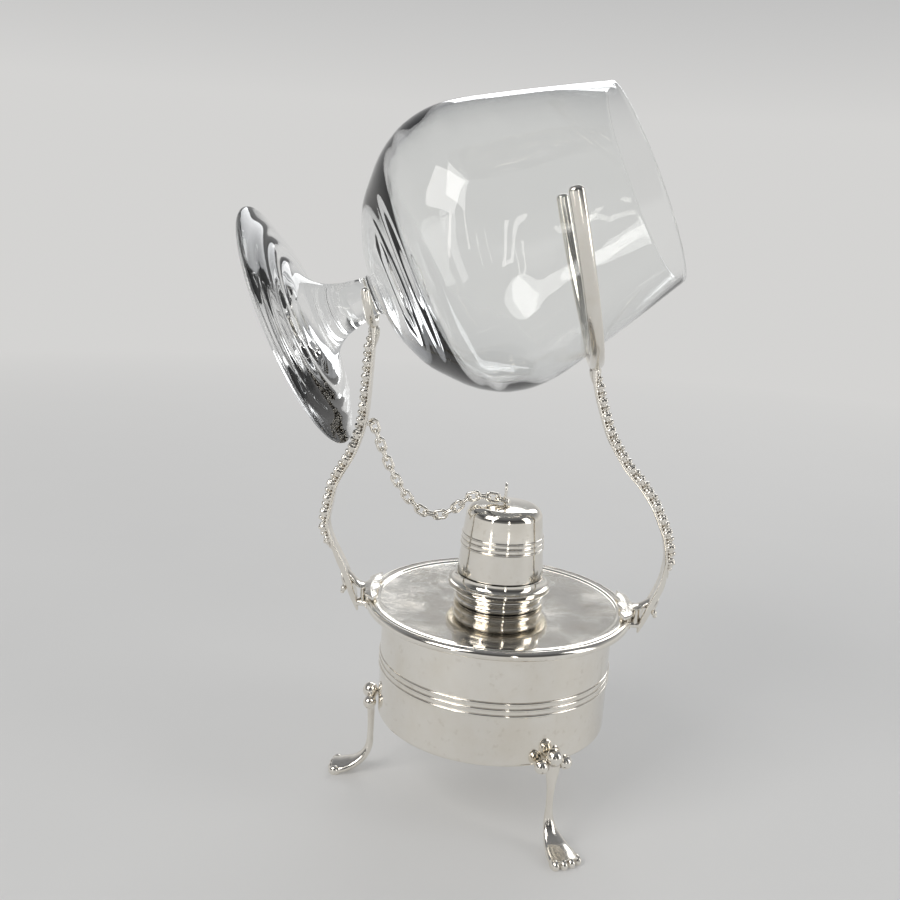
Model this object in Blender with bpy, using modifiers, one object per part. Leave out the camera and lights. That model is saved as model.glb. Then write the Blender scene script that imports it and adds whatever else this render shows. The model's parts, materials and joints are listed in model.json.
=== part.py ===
"""Brandy warmer: a silver-plated spirit-burner stand whose two forked arms hold a tilted balloon glass.

The frame's origin is the centre of the reservoir's flat underside, +Z is up, +X points to the arm under the
bowl, and the whole object mirrors about the plane y = 0. All sizes are in metres.
"""

import math

import bmesh
import bpy
from mathutils import Matrix, Vector

# Shared clearances and round counts
GAP = 0.0003
OVERRUN = 0.002
TINY = 0.00001
WIDE_STEPS = 36
GLASS_STEPS = 32
MID_STEPS = 24
SLIM_STEPS = 12
PATH_PIECES = 8
SEARCH_STEPS = 60
FULL_TURN = math.radians(360)

# Reservoir drum
DRUM_RADIUS = 0.0392
DRUM_HEIGHT = 0.0397
DRUM_WALL = 0.0009
DRUM_FLOOR = 0.0012
DRUM_CORNER = 0.0018
DRUM_REED_HEIGHT = 0.0198
DRUM_REED_PITCH = 0.0021
DRUM_REED_RADIUS = 0.0005
REED_COUNT = 3

# Deck plate on the drum
DECK_OVERHANG = 0.0060
DECK_SHEET = 0.0010
DECK_BORDER_WIDTH = 0.0034
DECK_BORDER_RISE = 0.0005
DECK_BORDER_SLOPE = 0.0007
RIM_ROLL_RADIUS = 0.0016

# Neck collar on the deck
NECK_RADIUS = 0.0141
NECK_WALL = 0.0028
NECK_HEIGHT = 0.0051
NECK_BEAD_RADIUS = 0.0011
NECK_BEAD_PITCH = 0.0026
NECK_BEAD_FOOT = 0.0013

# Burner: flange, skirt and wick tube in one turning
FLANGE_RADIUS = 0.0173
FLANGE_LIP = 0.0014
FLANGE_RISE = 0.0047
FLANGE_CHAMFER = 0.0006
FLANGE_THICK = 0.0013
SEAT_MARGIN = 0.0003
SKIRT_WALL = 0.0010
SKIRT_DEPTH = 0.0085
WICK_RADIUS = 0.0030
TUBE_WALL = 0.0009
TUBE_RISE = 0.0085
TUBE_DROP = 0.0200
TUBE_FOOT = 0.0009
WICK_RISE = 0.0023
WICK_ROUND = 0.0009
WICK_TAIL = 0.0050

# Snuffer cap
CAP_RADIUS = 0.0146
CAP_SHOULDER_RADIUS = 0.0129
CAP_HEIGHT = 0.0241
CAP_WALL = 0.0010
CAP_ROUND = 0.0038
CAP_DOME = 0.0005
CAP_REED_HEIGHT = 0.0116
CAP_REED_PITCH = 0.0018
CAP_REED_RADIUS = 0.0004

# Wire loop on the cap and wire staple on the stem arm
LOOP_WIRE = 0.0010
LOOP_HEIGHT = 0.0062
LOOP_WIDTH = 0.0048
STAPLE_HEIGHT = 0.0996
STAPLE_REACH = 0.0018

# Chain; its length is a share of the straight run from the staple to the loop
CHAIN_SLACK_SHARE = 1.29
LINK_WIRE = 0.0010
LINK_LENGTH = 0.0056
LINK_WIDTH = 0.0036
REST_REACH = 0.0040
REST_RISE = 0.0005
LEAST_CONTACT = math.radians(93)
MOST_CONTACT = math.radians(172)
ROUTE_STEPS = 400
HANG_STEPS = 120
BEND_STEPS = 12

# Feet
FOOT_COUNT = 3
FOOT_HEIGHT = 0.0272
FOOT_STANDOFF = 0.0024
FOOT_SPREAD = 0.0138
FOOT_KNEE = 0.0065
FOOT_WIDTH = 0.0102
FOOT_THICK = 0.0034
KNEE_BALL_RADIUS = 0.0027
KNEE_SIDE_RADIUS = 0.0023
KNEE_SIDE_OFFSET = 0.0044
KNEE_SIDE_DROP = 0.0026
KNEE_BALL_HEIGHT = 0.0042
TOE_RADIUS = 0.0018
TOE_COUNT = 4
TOE_LIFT_SHARE = 0.7
TOE_INSET_SHARE = 1.2
TOE_BACK_SHARE = 0.5

# Strap arms
STRAP_WIDTH = 0.0064
STRAP_THICK = 0.0024
RELIEF_HEIGHT = 0.0016
RELIEF_PITCH = 0.0049
RELIEF_SAMPLES = 3
STRAP_TAPER_SHARE = 0.18
STRAP_TIP_SHARE = 0.35
TIP_RUN_SHARE = 0.11
FADE_IN_SHARE = 0.25
FADE_OUT_SHARE = 0.10
SCALLOP_SHARE = 0.05
CROWN_SHARES = (0.55, 0.45)
LOBE_SHARES = (0.45, 0.35)
ARM_TIP_HEIGHT = 0.0336
ARM_TIP_STANDOFF = 0.0030
STEM_BULGE_REACH = 0.0601
STEM_BULGE_HEIGHT = 0.0645
BOWL_BULGE_REACH = 0.0556
BOWL_BULGE_HEIGHT = 0.0610
STEM_FORK_REACH = 0.0470
STEM_FORK_HEIGHT = 0.1324

# Forks
PRONG_WIDE = 0.0030
PRONG_DEEP = 0.0046
STEM_PRONG_WIDE = 0.0026
STEM_PRONG_DEEP = 0.0030
STEM_FORK_LEAN = math.radians(10)
BOWL_FORK_LEAN = math.radians(14.2)
STEM_FORK_CLEAR = 0.0006
STEM_TIP_RISE = 0.0022
BOWL_FORK_CLEAR = 0.0028
BOWL_UNDER_CLEAR = 0.0080
BOWL_TIP_RISE = 0.0060
TIP_ANGLES = (math.radians(35), math.radians(65))

# Leaf clasps that hold the arms to the deck's rim
LEAF_THICK = 0.0013
LEAF_WIDTH = 0.0040
TOP_LEAF_LENGTH = 0.0270
LOW_LEAF_LENGTH = 0.0200
BRACKET_THICK = 0.0017
BRACKET_RISE = 0.0018
LEAF_POINT_SHARE = 0.16
LEAF_LOBE_SHARE = 0.14
UPPER_BRACKET_SHARES = (0.34, 0.38, 0.48, 0.30)
LOWER_BRACKET_SHARES = (0.26, 0.32, 0.40)

# Balloon glass, along its own axis from the foot's base
GLASS_LENGTH = 0.1210
GLASS_TILT = math.radians(25.6)
GLASS_FOOT_RADIUS = 0.0410
GLASS_FOOT_EDGE = 0.0017
STEM_RADIUS = 0.0066
STEM_TOP = 0.0282
BOWL_RADIUS = 0.0465
RIM_RADIUS = 0.0328
BOWL_WALL = 0.0015
BOWL_FLOOR = 0.0138
STEM_SEAT = 0.0266
BOWL_SEAT = 0.0957

# Shares of the glass: foot, as shares of stem height and of the spread from stem to foot edge
FOOT_CONE_SHARES = ((0.18, 0.68), (0.24, 0.40), (0.34, 0.20), (0.47, 0.10), (0.62, 0.045), (0.80, 0.012))
# Bowl, as shares of the height from stem top to rim and of the bowl's radius
BOWL_OUTER_SHARES = ((0.020, 0.235), (0.035, 0.365), (0.085, 0.585), (0.145, 0.730), (0.210, 0.855),
                     (0.285, 0.945), (0.345, 0.984), (0.408, 1.000), (0.472, 0.993), (0.538, 0.968),
                     (0.640, 0.913), (0.820, 0.810))
BOWL_INNER_SHARES = ((0.000, 0.42), (0.015, 0.60), (0.070, 0.785), (0.145, 0.895), (0.225, 0.962),
                     (0.312, 1.000), (0.400, 0.992), (0.490, 0.962), (0.600, 0.913), (0.800, 0.812))

# Shares of an arm's outline: reach and height, between its tip, its bulge and its fork
STEM_LOWER_SHARES = ((0.0, 0.0), (0.227, 0.296), (0.345, 0.410), (0.471, 0.521), (0.625, 0.631),
                     (0.785, 0.744), (0.920, 0.864), (1.0, 1.0))
STEM_UPPER_SHARES = ((0.050, 0.072), (0.155, 0.183), (0.270, 0.237), (0.425, 0.292), (0.569, 0.343),
                     (0.678, 0.391), (0.797, 0.463), (0.880, 0.541), (0.923, 0.640), (0.964, 0.817),
                     (1.0, 1.0))
BOWL_LOWER_SHARES = ((0.0, 0.0), (0.243, 0.241), (0.420, 0.372), (0.640, 0.511), (0.830, 0.650),
                     (0.950, 0.788), (1.0, 1.0))
BOWL_UPPER_SHARES = ((0.043, 0.110), (0.097, 0.169), (0.208, 0.276), (0.366, 0.380), (0.466, 0.431),
                     (0.560, 0.480), (0.700, 0.579), (0.775, 0.640), (0.849, 0.728), (0.923, 0.829),
                     (0.975, 0.928), (1.0, 1.0))

# Shares of a foot: reach past the standoff, height, half width and half thickness, from knee to toe
FOOT_SHARES = ((0.00, 1.00, 0.30, 0.62), (0.00, 0.90, 0.58, 0.95), (0.01, 0.75, 0.44, 0.80),
               (0.00, 0.60, 0.27, 0.66), (0.00, 0.44, 0.23, 0.62), (0.02, 0.30, 0.32, 0.75),
               (0.14, 0.19, 0.52, 0.92), (0.38, 0.105, 0.78, 1.05), (0.68, 0.055, 1.00, 1.22),
               (0.93, 0.045, 0.90, 1.05))

SILVER = (0.84, 0.82, 0.77)
DARK_SILVER = (0.62, 0.59, 0.54)
CLEAR = (0.96, 0.98, 0.97)
COTTON = (0.80, 0.76, 0.66)

# Places worked out from the sizes above
DECK_RADIUS = DRUM_RADIUS + DECK_OVERHANG
DECK_UNDER = DRUM_HEIGHT + GAP
DECK_TOP = DECK_UNDER + DECK_SHEET
RIM_TOP = DECK_TOP + DECK_BORDER_RISE
RIM_MIDDLE = RIM_TOP - RIM_ROLL_RADIUS
RIM_UNDER = RIM_MIDDLE - RIM_ROLL_RADIUS
NECK_BORE = NECK_RADIUS - NECK_WALL
NECK_FOOT = DECK_TOP + GAP
NECK_TOP = NECK_FOOT + NECK_HEIGHT
SKIRT_RADIUS = NECK_BORE - GAP
FLANGE_UNDER = NECK_TOP + GAP
SEAT_HEIGHT = FLANGE_UNDER + FLANGE_RISE
SEAT_RADIUS = CAP_RADIUS + SEAT_MARGIN
TUBE_BORE = WICK_RADIUS + GAP
TUBE_RADIUS = TUBE_BORE + TUBE_WALL
TUBE_TOP = SEAT_HEIGHT + TUBE_RISE
CAP_FOOT = SEAT_HEIGHT + GAP
CAP_TOP = CAP_FOOT + CAP_HEIGHT
LOOP_FOOT = CAP_TOP + GAP
GROUND = -FOOT_HEIGHT
LINK_HALF_FLAT = (LINK_LENGTH - LINK_WIRE) / 2
LINK_HOLD = LINK_WIRE + GAP
LINK_HALF_UPRIGHT = LINK_HALF_FLAT - LINK_HOLD
LOOP_LEG = (LOOP_WIDTH - LOOP_WIRE) / 2
ALONG = Vector((math.cos(GLASS_TILT), 0, math.sin(GLASS_TILT)))
ACROSS = Vector((0, 1, 0))
UPWARD = Vector((0, 0, 1))


def clear_scene():
    for obj in list(bpy.data.objects):
        bpy.data.objects.remove(obj, do_unlink=True)


def new_collection(name):
    group = bpy.data.collections.new(name)
    bpy.context.scene.collection.children.link(group)
    return group


def new_material(name, colour, metallic, roughness, transmission=0.0):
    """A Principled BSDF with one plain finish."""
    mat = bpy.data.materials.new(name)
    mat.use_nodes = True
    shader = mat.node_tree.nodes["Principled BSDF"]
    shader.inputs["Base Color"].default_value = (*colour, 1)
    shader.inputs["Metallic"].default_value = metallic
    shader.inputs["Roughness"].default_value = roughness
    shader.inputs["Transmission Weight"].default_value = transmission
    mat.diffuse_color = (*colour, 1)
    return mat


clear_scene()
PARTS = new_collection("brandy_warmer")
STAND = bpy.data.objects.new("stand_axis", None)
PARTS.objects.link(STAND)
SILVER_PLATE = new_material("silver_plate", SILVER, 1.0, 0.12)
CAST_SILVER = new_material("cast_silver", DARK_SILVER, 1.0, 0.28)
CLEAR_GLASS = new_material("clear_glass", CLEAR, 0.0, 0.02, 1.0)
COTTON_WICK = new_material("cotton_wick", COTTON, 0.0, 0.95)


def add_object(name, data, mat, place=None):
    """Links an object of the warmer under the stand's axis."""
    obj = bpy.data.objects.new(name, data)
    data.materials.clear()
    data.materials.append(mat)
    PARTS.objects.link(obj)
    obj.parent = STAND
    if place is not None:
        obj.matrix_world = place
    return obj


def smooth(mesh, angle=math.radians(35)):
    mesh.shade_smooth()
    mesh.set_sharp_from_angle(angle=angle)


def arc(reach, height, radius, start, end, count):
    """Points of an arc in the (reach, height) plane, angles in degrees."""
    turn = math.radians(end - start) / count
    angles = [math.radians(start) + turn * i for i in range(count + 1)]
    return [(reach + radius * math.cos(a), height + radius * math.sin(a)) for a in angles]


def reeds(radius_at, middle, pitch, bead):
    """Half-round ribs down an outer side, top rib first."""
    points = []
    for i in range(REED_COUNT):
        height = middle + pitch * (REED_COUNT - 1 - 2 * i) / 2
        points += arc(radius_at(height), height, bead, 90, -90, 2)
    return points


def turned(name, profile, steps, mat, place=None):
    """A profile turned about its own Z axis; the profile runs down its outer side."""
    mesh = bpy.data.meshes.new(name)
    closed = min(reach for reach, height in profile) > TINY
    edges = [(i, i + 1) for i in range(len(profile) - 1)]
    if closed:
        edges.append((len(profile) - 1, 0))
    mesh.from_pydata([(reach, 0, height) for reach, height in profile], edges, [])
    obj = add_object(name, mesh, mat, place)
    screw = obj.modifiers.new("turn", "SCREW")
    screw.angle = FULL_TURN
    screw.steps = steps
    screw.render_steps = steps
    screw.use_merge_vertices = True
    screw.merge_threshold = TINY
    screw.use_smooth_shade = True
    return obj


def loft(name, rings, mat):
    """A closed body through rings of equal count, capped at both ends."""
    bm = bmesh.new()
    rows = [[bm.verts.new(point) for point in ring] for ring in rings]
    count = len(rows[0])
    for low, high in zip(rows, rows[1:]):
        for i in range(count):
            j = (i + 1) % count
            bm.faces.new((low[i], low[j], high[j], high[i]))
    bm.faces.new(list(reversed(rows[0])))
    bm.faces.new(rows[-1])
    bmesh.ops.recalc_face_normals(bm, faces=bm.faces)
    mesh = bpy.data.meshes.new(name)
    bm.to_mesh(mesh)
    bm.free()
    smooth(mesh)
    return add_object(name, mesh, mat)


def oval(centre, side, across, half_side, half_across, corners=6):
    """One ring of an elliptic section."""
    angles = [FULL_TURN * (i + 0.5) / corners for i in range(corners)]
    return [centre + side * (half_side * math.cos(a)) + across * (half_across * math.sin(a)) for a in angles]


def ball(name, centre, radius, mat, segments=8, rings=5):
    bm = bmesh.new()
    spot = Matrix.Translation(centre)
    bmesh.ops.create_uvsphere(bm, u_segments=segments, v_segments=rings, radius=radius, matrix=spot)
    mesh = bpy.data.meshes.new(name)
    bm.to_mesh(mesh)
    bm.free()
    return add_object(name, mesh, mat)


def wire_curve(name, points, wire, cyclic):
    """A round wire along a polyline, with six sides."""
    curve = bpy.data.curves.new(name, "CURVE")
    curve.dimensions = "3D"
    curve.bevel_depth = wire / 2
    curve.bevel_resolution = 1
    curve.use_fill_caps = not cyclic
    spline = curve.splines.new("POLY")
    spline.points.add(len(points) - 1)
    for spot, point in zip(spline.points, points):
        spot.co = (*point, 1)
    spline.use_cyclic_u = cyclic
    return curve


def combine(base, other, operation):
    """Applies one exact Boolean to the base and removes the other object."""
    cut = base.modifiers.new("join", "BOOLEAN")
    cut.operation = operation
    cut.solver = "EXACT"
    cut.object = other
    bpy.context.view_layer.update()
    graph = bpy.context.evaluated_depsgraph_get()
    mesh = bpy.data.meshes.new_from_object(base.evaluated_get(graph))
    base.modifiers.clear()
    base.data = mesh
    bpy.data.objects.remove(other, do_unlink=True)


def fuse(base, others):
    """Joins castings and soldered pieces into one body."""
    for other in others:
        combine(base, other, "UNION")
    smooth(base.data)
    return base


def spline_path(points, pieces):
    """A smooth path through points, by the same number of pieces between each two."""
    path = []
    last = len(points) - 1
    for i in range(last):
        before = points[max(i - 1, 0)]
        start = points[i]
        end = points[i + 1]
        after = points[min(i + 2, last)]
        for k in range(pieces):
            t = k / pieces
            leave = (end - before) / 2
            arrive = (after - start) / 2
            blend = 3 * t ** 2 - 2 * t ** 3
            ease_out = t * (1 - t) ** 2
            ease_in = t ** 2 * (t - 1)
            path.append(start.lerp(end, blend) + leave * ease_out + arrive * ease_in)
    path.append(points[-1])
    return path


def even_path(path, count):
    """The same path cut to even steps, and its length."""
    runs = [0.0]
    for a, b in zip(path, path[1:]):
        runs.append(runs[-1] + (b - a).length)
    even = []
    i = 0
    for k in range(count + 1):
        want = runs[-1] * k / count
        while i < len(path) - 2 and runs[i + 1] < want:
            i += 1
        part = (want - runs[i]) / max(runs[i + 1] - runs[i], TINY)
        even.append(path[i].lerp(path[i + 1], part))
    return even, runs[-1]


def tangents(path):
    last = len(path) - 1
    return [(path[min(i + 1, last)] - path[max(i - 1, 0)]).normalized() for i in range(last + 1)]


# The reservoir and its deck

def build_drum():
    inner = DRUM_RADIUS - DRUM_WALL
    profile = [(0, DRUM_FLOOR), (inner - DRUM_CORNER, DRUM_FLOOR), (inner, DRUM_FLOOR + DRUM_CORNER),
               (inner, DRUM_HEIGHT), (DRUM_RADIUS, DRUM_HEIGHT)]
    profile += reeds(lambda height: DRUM_RADIUS, DRUM_REED_HEIGHT, DRUM_REED_PITCH, DRUM_REED_RADIUS)
    profile += arc(DRUM_RADIUS - DRUM_CORNER, DRUM_CORNER, DRUM_CORNER, 0, -90, 3)
    profile.append((0, 0))
    return turned("reservoir_drum", profile, WIDE_STEPS, SILVER_PLATE)


def build_deck():
    hole = SKIRT_RADIUS + GAP
    border_out = DECK_RADIUS - RIM_ROLL_RADIUS
    border_in = border_out - DECK_BORDER_WIDTH
    seat = DRUM_RADIUS + GAP
    profile = [(hole, DECK_TOP), (border_in, DECK_TOP), (border_in + DECK_BORDER_SLOPE, RIM_TOP),
               (border_out - DECK_BORDER_SLOPE, RIM_TOP), (border_out - DECK_BORDER_SLOPE / 2, DECK_TOP)]
    profile += arc(border_out, RIM_MIDDLE, RIM_ROLL_RADIUS, 90, -90, 5)
    profile += [(seat, RIM_UNDER), (seat, DECK_UNDER), (hole, DECK_UNDER)]
    return turned("deck_plate", profile, WIDE_STEPS, SILVER_PLATE)


def build_neck():
    low_bead = NECK_FOOT + NECK_BEAD_FOOT
    high_bead = low_bead + NECK_BEAD_PITCH
    profile = [(NECK_BORE, NECK_TOP), (NECK_RADIUS, NECK_TOP)]
    for bead in (high_bead, low_bead):
        profile += arc(NECK_RADIUS, bead, NECK_BEAD_RADIUS, 90, -90, 3)
    profile += [(NECK_RADIUS, NECK_FOOT), (NECK_BORE, NECK_FOOT)]
    return turned("neck_collar", profile, MID_STEPS, SILVER_PLATE)


def build_burner():
    """Flange with a concave rise to the cap's seat, a skirt in the neck and the wick tube."""
    lip_top = FLANGE_UNDER + FLANGE_CHAMFER + FLANGE_LIP
    flare_radius = FLANGE_RADIUS - FLANGE_CHAMFER - SEAT_RADIUS
    flare_height = SEAT_HEIGHT - lip_top
    sweep = [math.radians(90) * i / 3 for i in range(4)]
    flare = [(SEAT_RADIUS + flare_radius * (1 - math.cos(a)), SEAT_HEIGHT - flare_height * math.sin(a))
             for a in sweep]
    ceiling = SEAT_HEIGHT - FLANGE_THICK
    skirt_foot = FLANGE_UNDER - SKIRT_DEPTH
    tube_foot = FLANGE_UNDER - TUBE_DROP
    profile = [(TUBE_BORE, TUBE_TOP), (TUBE_RADIUS, TUBE_TOP), (TUBE_RADIUS, SEAT_HEIGHT + TUBE_FOOT),
               (TUBE_RADIUS + TUBE_FOOT, SEAT_HEIGHT)]
    profile += flare
    profile += [(FLANGE_RADIUS, lip_top), (FLANGE_RADIUS, FLANGE_UNDER + FLANGE_CHAMFER),
                (FLANGE_RADIUS - FLANGE_CHAMFER, FLANGE_UNDER), (SKIRT_RADIUS, FLANGE_UNDER),
                (SKIRT_RADIUS, skirt_foot), (SKIRT_RADIUS - SKIRT_WALL, skirt_foot),
                (SKIRT_RADIUS - SKIRT_WALL, ceiling), (TUBE_RADIUS, ceiling), (TUBE_RADIUS, tube_foot),
                (TUBE_BORE, tube_foot)]
    return turned("burner_flange", profile, MID_STEPS, SILVER_PLATE)


def build_wick():
    top = TUBE_TOP + WICK_RISE
    tail = DRUM_FLOOR + WICK_TAIL
    profile = [(0, top), (WICK_RADIUS - WICK_ROUND, top), (WICK_RADIUS, top - WICK_ROUND),
               (WICK_RADIUS, tail), (0, tail)]
    return turned("wick", profile, SLIM_STEPS, COTTON_WICK)


# The snuffer cap and its loop

def cap_side(height):
    """Outer radius of the cap's tapered side at a height above its foot."""
    straight = CAP_HEIGHT - CAP_ROUND
    return CAP_RADIUS + (CAP_SHOULDER_RADIUS - CAP_RADIUS) * height / straight


def build_cap():
    """Built from its foot and placed on the burner's seat."""
    shoulder = CAP_HEIGHT - CAP_DOME - CAP_ROUND
    inner_round = CAP_ROUND - CAP_WALL
    profile = [(0, CAP_HEIGHT), ((CAP_SHOULDER_RADIUS - CAP_ROUND) / 2, CAP_HEIGHT - CAP_DOME / 4)]
    profile += arc(CAP_SHOULDER_RADIUS - CAP_ROUND, shoulder, CAP_ROUND, 90, 0, 5)
    profile += reeds(cap_side, CAP_REED_HEIGHT, CAP_REED_PITCH, CAP_REED_RADIUS)
    profile += [(CAP_RADIUS, 0), (CAP_RADIUS - CAP_WALL, 0)]
    profile += arc(CAP_SHOULDER_RADIUS - CAP_ROUND, shoulder, inner_round, 0, 90, 3)
    profile.append((0, shoulder + inner_round))
    return turned("snuffer_cap", profile, MID_STEPS, SILVER_PLATE, Matrix.Translation((0, 0, CAP_FOOT)))


def arch(half_width, height, across, up):
    """A U of wire: two straight legs joined by a half round, flattened where the bar is low."""
    crown = min(half_width, height)
    rise = height - crown
    points = [across * -half_width]
    angles = [math.radians(180) * (1 - i / 8) for i in range(9)]
    points += [across * (half_width * math.cos(a)) + up * (rise + crown * math.sin(a)) for a in angles]
    points.append(across * half_width)
    return points


def build_cap_loop():
    points = arch(LOOP_LEG, LOOP_HEIGHT, ACROSS, UPWARD)
    curve = wire_curve("cap_loop", points, LOOP_WIRE, False)
    return add_object("cap_loop", curve, SILVER_PLATE, Matrix.Translation((0, 0, LOOP_FOOT)))


# The glass

def outer_profile():
    """Outside of the glass from the rim down to the foot's edge, as (radius, distance from the base)."""
    bowl_height = GLASS_LENGTH - STEM_TOP
    points = [(RIM_RADIUS, GLASS_LENGTH)]
    for height, radius in reversed(BOWL_OUTER_SHARES):
        points.append((BOWL_RADIUS * radius, STEM_TOP + bowl_height * height))
    points.append((STEM_RADIUS, STEM_TOP))
    spread = GLASS_FOOT_RADIUS - STEM_RADIUS
    for height, radius in reversed(FOOT_CONE_SHARES):
        points.append((STEM_RADIUS + spread * radius, STEM_TOP * height))
    points += [(GLASS_FOOT_RADIUS, GLASS_FOOT_EDGE), (GLASS_FOOT_RADIUS, GLASS_FOOT_EDGE / 4)]
    return points


def glass_radius(along):
    """Outer radius of the glass at a distance from its base."""
    points = outer_profile()
    for (wide, high), (slim, low) in zip(points, points[1:]):
        if low <= along <= high:
            return slim + (wide - slim) * (along - low) / max(high - low, TINY)
    return 0.0


def direction(lean):
    """Upward direction in the arms' plane, leaning towards the stem side."""
    return Vector((-math.sin(lean), 0, math.cos(lean)))


def stem_fork():
    """Lowest point of the stem fork's wire and the radius of its round."""
    low = Vector((-STEM_FORK_REACH, 0, STEM_FORK_HEIGHT))
    section = glass_radius(STEM_SEAT) / math.cos(GLASS_TILT - STEM_FORK_LEAN)
    return low, section + STEM_FORK_CLEAR + STEM_PRONG_WIDE / 2


def glass_base():
    """Centre of the glass's foot: its stem lies in the stem fork."""
    low, radius = stem_fork()
    return low + direction(STEM_FORK_LEAN) * radius - ALONG * STEM_SEAT


def bowl_fork():
    """Lowest point, half width and height of the fork that cradles the bowl."""
    radius = glass_radius(BOWL_SEAT)
    drop = radius + BOWL_UNDER_CLEAR
    low = glass_base() + ALONG * BOWL_SEAT - direction(BOWL_FORK_LEAN) * drop
    return low, radius + BOWL_FORK_CLEAR + PRONG_WIDE / 2, drop + BOWL_TIP_RISE


def build_glass():
    bowl_height = GLASS_LENGTH - STEM_TOP
    floor = STEM_TOP + BOWL_FLOOR
    inner_height = GLASS_LENGTH - floor
    inner_radius = BOWL_RADIUS - BOWL_WALL
    profile = [(0, floor)]
    for height, radius in BOWL_INNER_SHARES:
        profile.append((inner_radius * radius, floor + inner_height * height))
    profile.append((RIM_RADIUS - BOWL_WALL, GLASS_LENGTH - BOWL_WALL / 2))
    profile += arc(RIM_RADIUS - BOWL_WALL / 2, GLASS_LENGTH - BOWL_WALL / 2, BOWL_WALL / 2, 135, 45, 2)
    profile += outer_profile()[1:]
    profile += [(GLASS_FOOT_RADIUS - GLASS_FOOT_EDGE / 4, 0), (0, 0)]
    base = glass_base()
    place = Matrix.Translation(base) @ ALONG.to_track_quat("Z", "Y").to_matrix().to_4x4()
    return turned("balloon_glass", profile, GLASS_STEPS, CLEAR_GLASS, place)


# The arms

def arm_path(side, bulge_reach, bulge_height, fork_low, lower_shares, upper_shares):
    """Middle line of a strap from its pointed tip, round its bulge, to the foot of its fork."""
    tip = Vector((DECK_RADIUS + ARM_TIP_STANDOFF, 0, ARM_TIP_HEIGHT))
    bulge = Vector((bulge_reach, 0, bulge_height))
    top = Vector((fork_low.x * side, 0, fork_low.z))
    points = []
    for start, end, shares in ((tip, bulge, lower_shares), (bulge, top, upper_shares)):
        span = end - start
        for reach, height in shares:
            points.append(Vector(((start.x + span.x * reach) * side, 0, start.z + span.z * height)))
    return spline_path(points, PATH_PIECES)


def strap_ring(centre, out, width, thick, crown, lobes):
    """Section of the strap: a flat inner face and a relief of leaves on the outer one."""
    back = -thick / 2
    edge = thick / 4
    shoulder = thick / 2 + lobes
    top = thick / 2 + crown
    half = width / 2
    outline = ((back, -half), (back, half), (edge, half), (shoulder, half / 2), (top, 0),
               (shoulder, -half / 2), (edge, -half))
    return [centre + out * height + ACROSS * aside for height, aside in outline]


def build_strap(name, path, side):
    count = round(even_path(path, 1)[1] / RELIEF_PITCH) * RELIEF_SAMPLES
    spots = even_path(path, count)[0]
    rings = []
    for i, (spot, tangent) in enumerate(zip(spots, tangents(spots))):
        share = i / count
        out = Vector((tangent.z, 0, -tangent.x)) * side
        wave = math.cos(FULL_TURN * i / RELIEF_SAMPLES)
        fade = min(1, share / FADE_IN_SHARE, (1 - share) / FADE_OUT_SHARE)
        taper = 1 - STRAP_TAPER_SHARE * share
        tip = min(1, STRAP_TIP_SHARE + share / TIP_RUN_SHARE)
        width = STRAP_WIDTH * taper * tip * (1 - SCALLOP_SHARE * fade * (1 - wave))
        crown = RELIEF_HEIGHT * fade * (CROWN_SHARES[0] + CROWN_SHARES[1] * wave)
        lobes = RELIEF_HEIGHT * fade * (LOBE_SHARES[0] - LOBE_SHARES[1] * wave)
        rings.append(strap_ring(spot, out, width, STRAP_THICK, crown, lobes))
    return loft(name, rings, CAST_SILVER)


def build_fork(name, low, lean, half_width, bend, height, wide, deep, count):
    """A U of two prongs with round tips, in a plane that leans towards the stem side.

    The bottom is half an ellipse as high as the bend, and the prongs go on up from it to the height.
    """
    up = direction(lean)
    normal = Vector((up.z, 0, -up.x))
    angles = [math.radians(-90) + math.radians(180) * i / count for i in range(count + 1)]
    spots = [low + ACROSS * (half_width * math.sin(a)) + up * (bend * (1 - math.cos(a))) for a in angles]
    if height > bend + TINY:
        rise = up * (height - bend)
        spots = [spots[0] + rise] + spots + [spots[-1] + rise]
    lines = tangents(spots)
    sizes = [1] * len(spots)
    tips = [spots[0], spots[-1]]
    for angle in TIP_ANGLES:
        dome = up * (wide / 2 * math.sin(angle))
        spots = [tips[0] + dome] + spots + [tips[1] + dome]
        lines = [lines[0]] + lines + [lines[-1]]
        sizes = [math.cos(angle)] + sizes + [math.cos(angle)]
    rings = []
    for spot, tangent, size in zip(spots, lines, sizes):
        rings.append(oval(spot, normal, tangent.cross(normal), deep / 2 * size, wide / 2 * size))
    return loft(name, rings, CAST_SILVER)


def leaf_radius():
    """Distance of the leaves' middle line from the axis: their outer edge lies just past the deck's rim."""
    return DECK_RADIUS - LEAF_WIDTH / 2 + GAP


def build_leaf(name, side, height, length):
    """A pointed leaf that follows the deck's rim either way from an arm."""
    radius = leaf_radius()
    count = 8
    half_angle = length / 2 / radius
    rings = []
    for i in range(count + 1):
        share = 2 * i / count - 1
        angle = half_angle * share
        swell = max(LEAF_POINT_SHARE, (1 - share ** 2) ** 0.7)
        lobe = 1 + LEAF_LOBE_SHARE * math.cos(3 * FULL_TURN / 2 * share)
        outward = Vector((math.cos(angle) * side, math.sin(angle), 0))
        centre = outward * radius + Vector((0, 0, height))
        half_width = LEAF_WIDTH / 2 * swell * lobe
        half_thick = LEAF_THICK / 2 * swell ** 0.3
        rings.append(oval(centre, outward, UPWARD, half_width, half_thick))
    return loft(name, rings, CAST_SILVER)


def build_bracket(name, points, shares):
    """A short flat bar in the arms' plane that ties a strap to a leaf; shares are of the strap's width."""
    rings = []
    for spot, tangent, share in zip(points, tangents(points), shares):
        normal = Vector((tangent.z, 0, -tangent.x))
        rings.append(oval(spot, normal, ACROSS, BRACKET_THICK / 2, STRAP_WIDTH * share))
    return loft(name, rings, CAST_SILVER)


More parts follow.
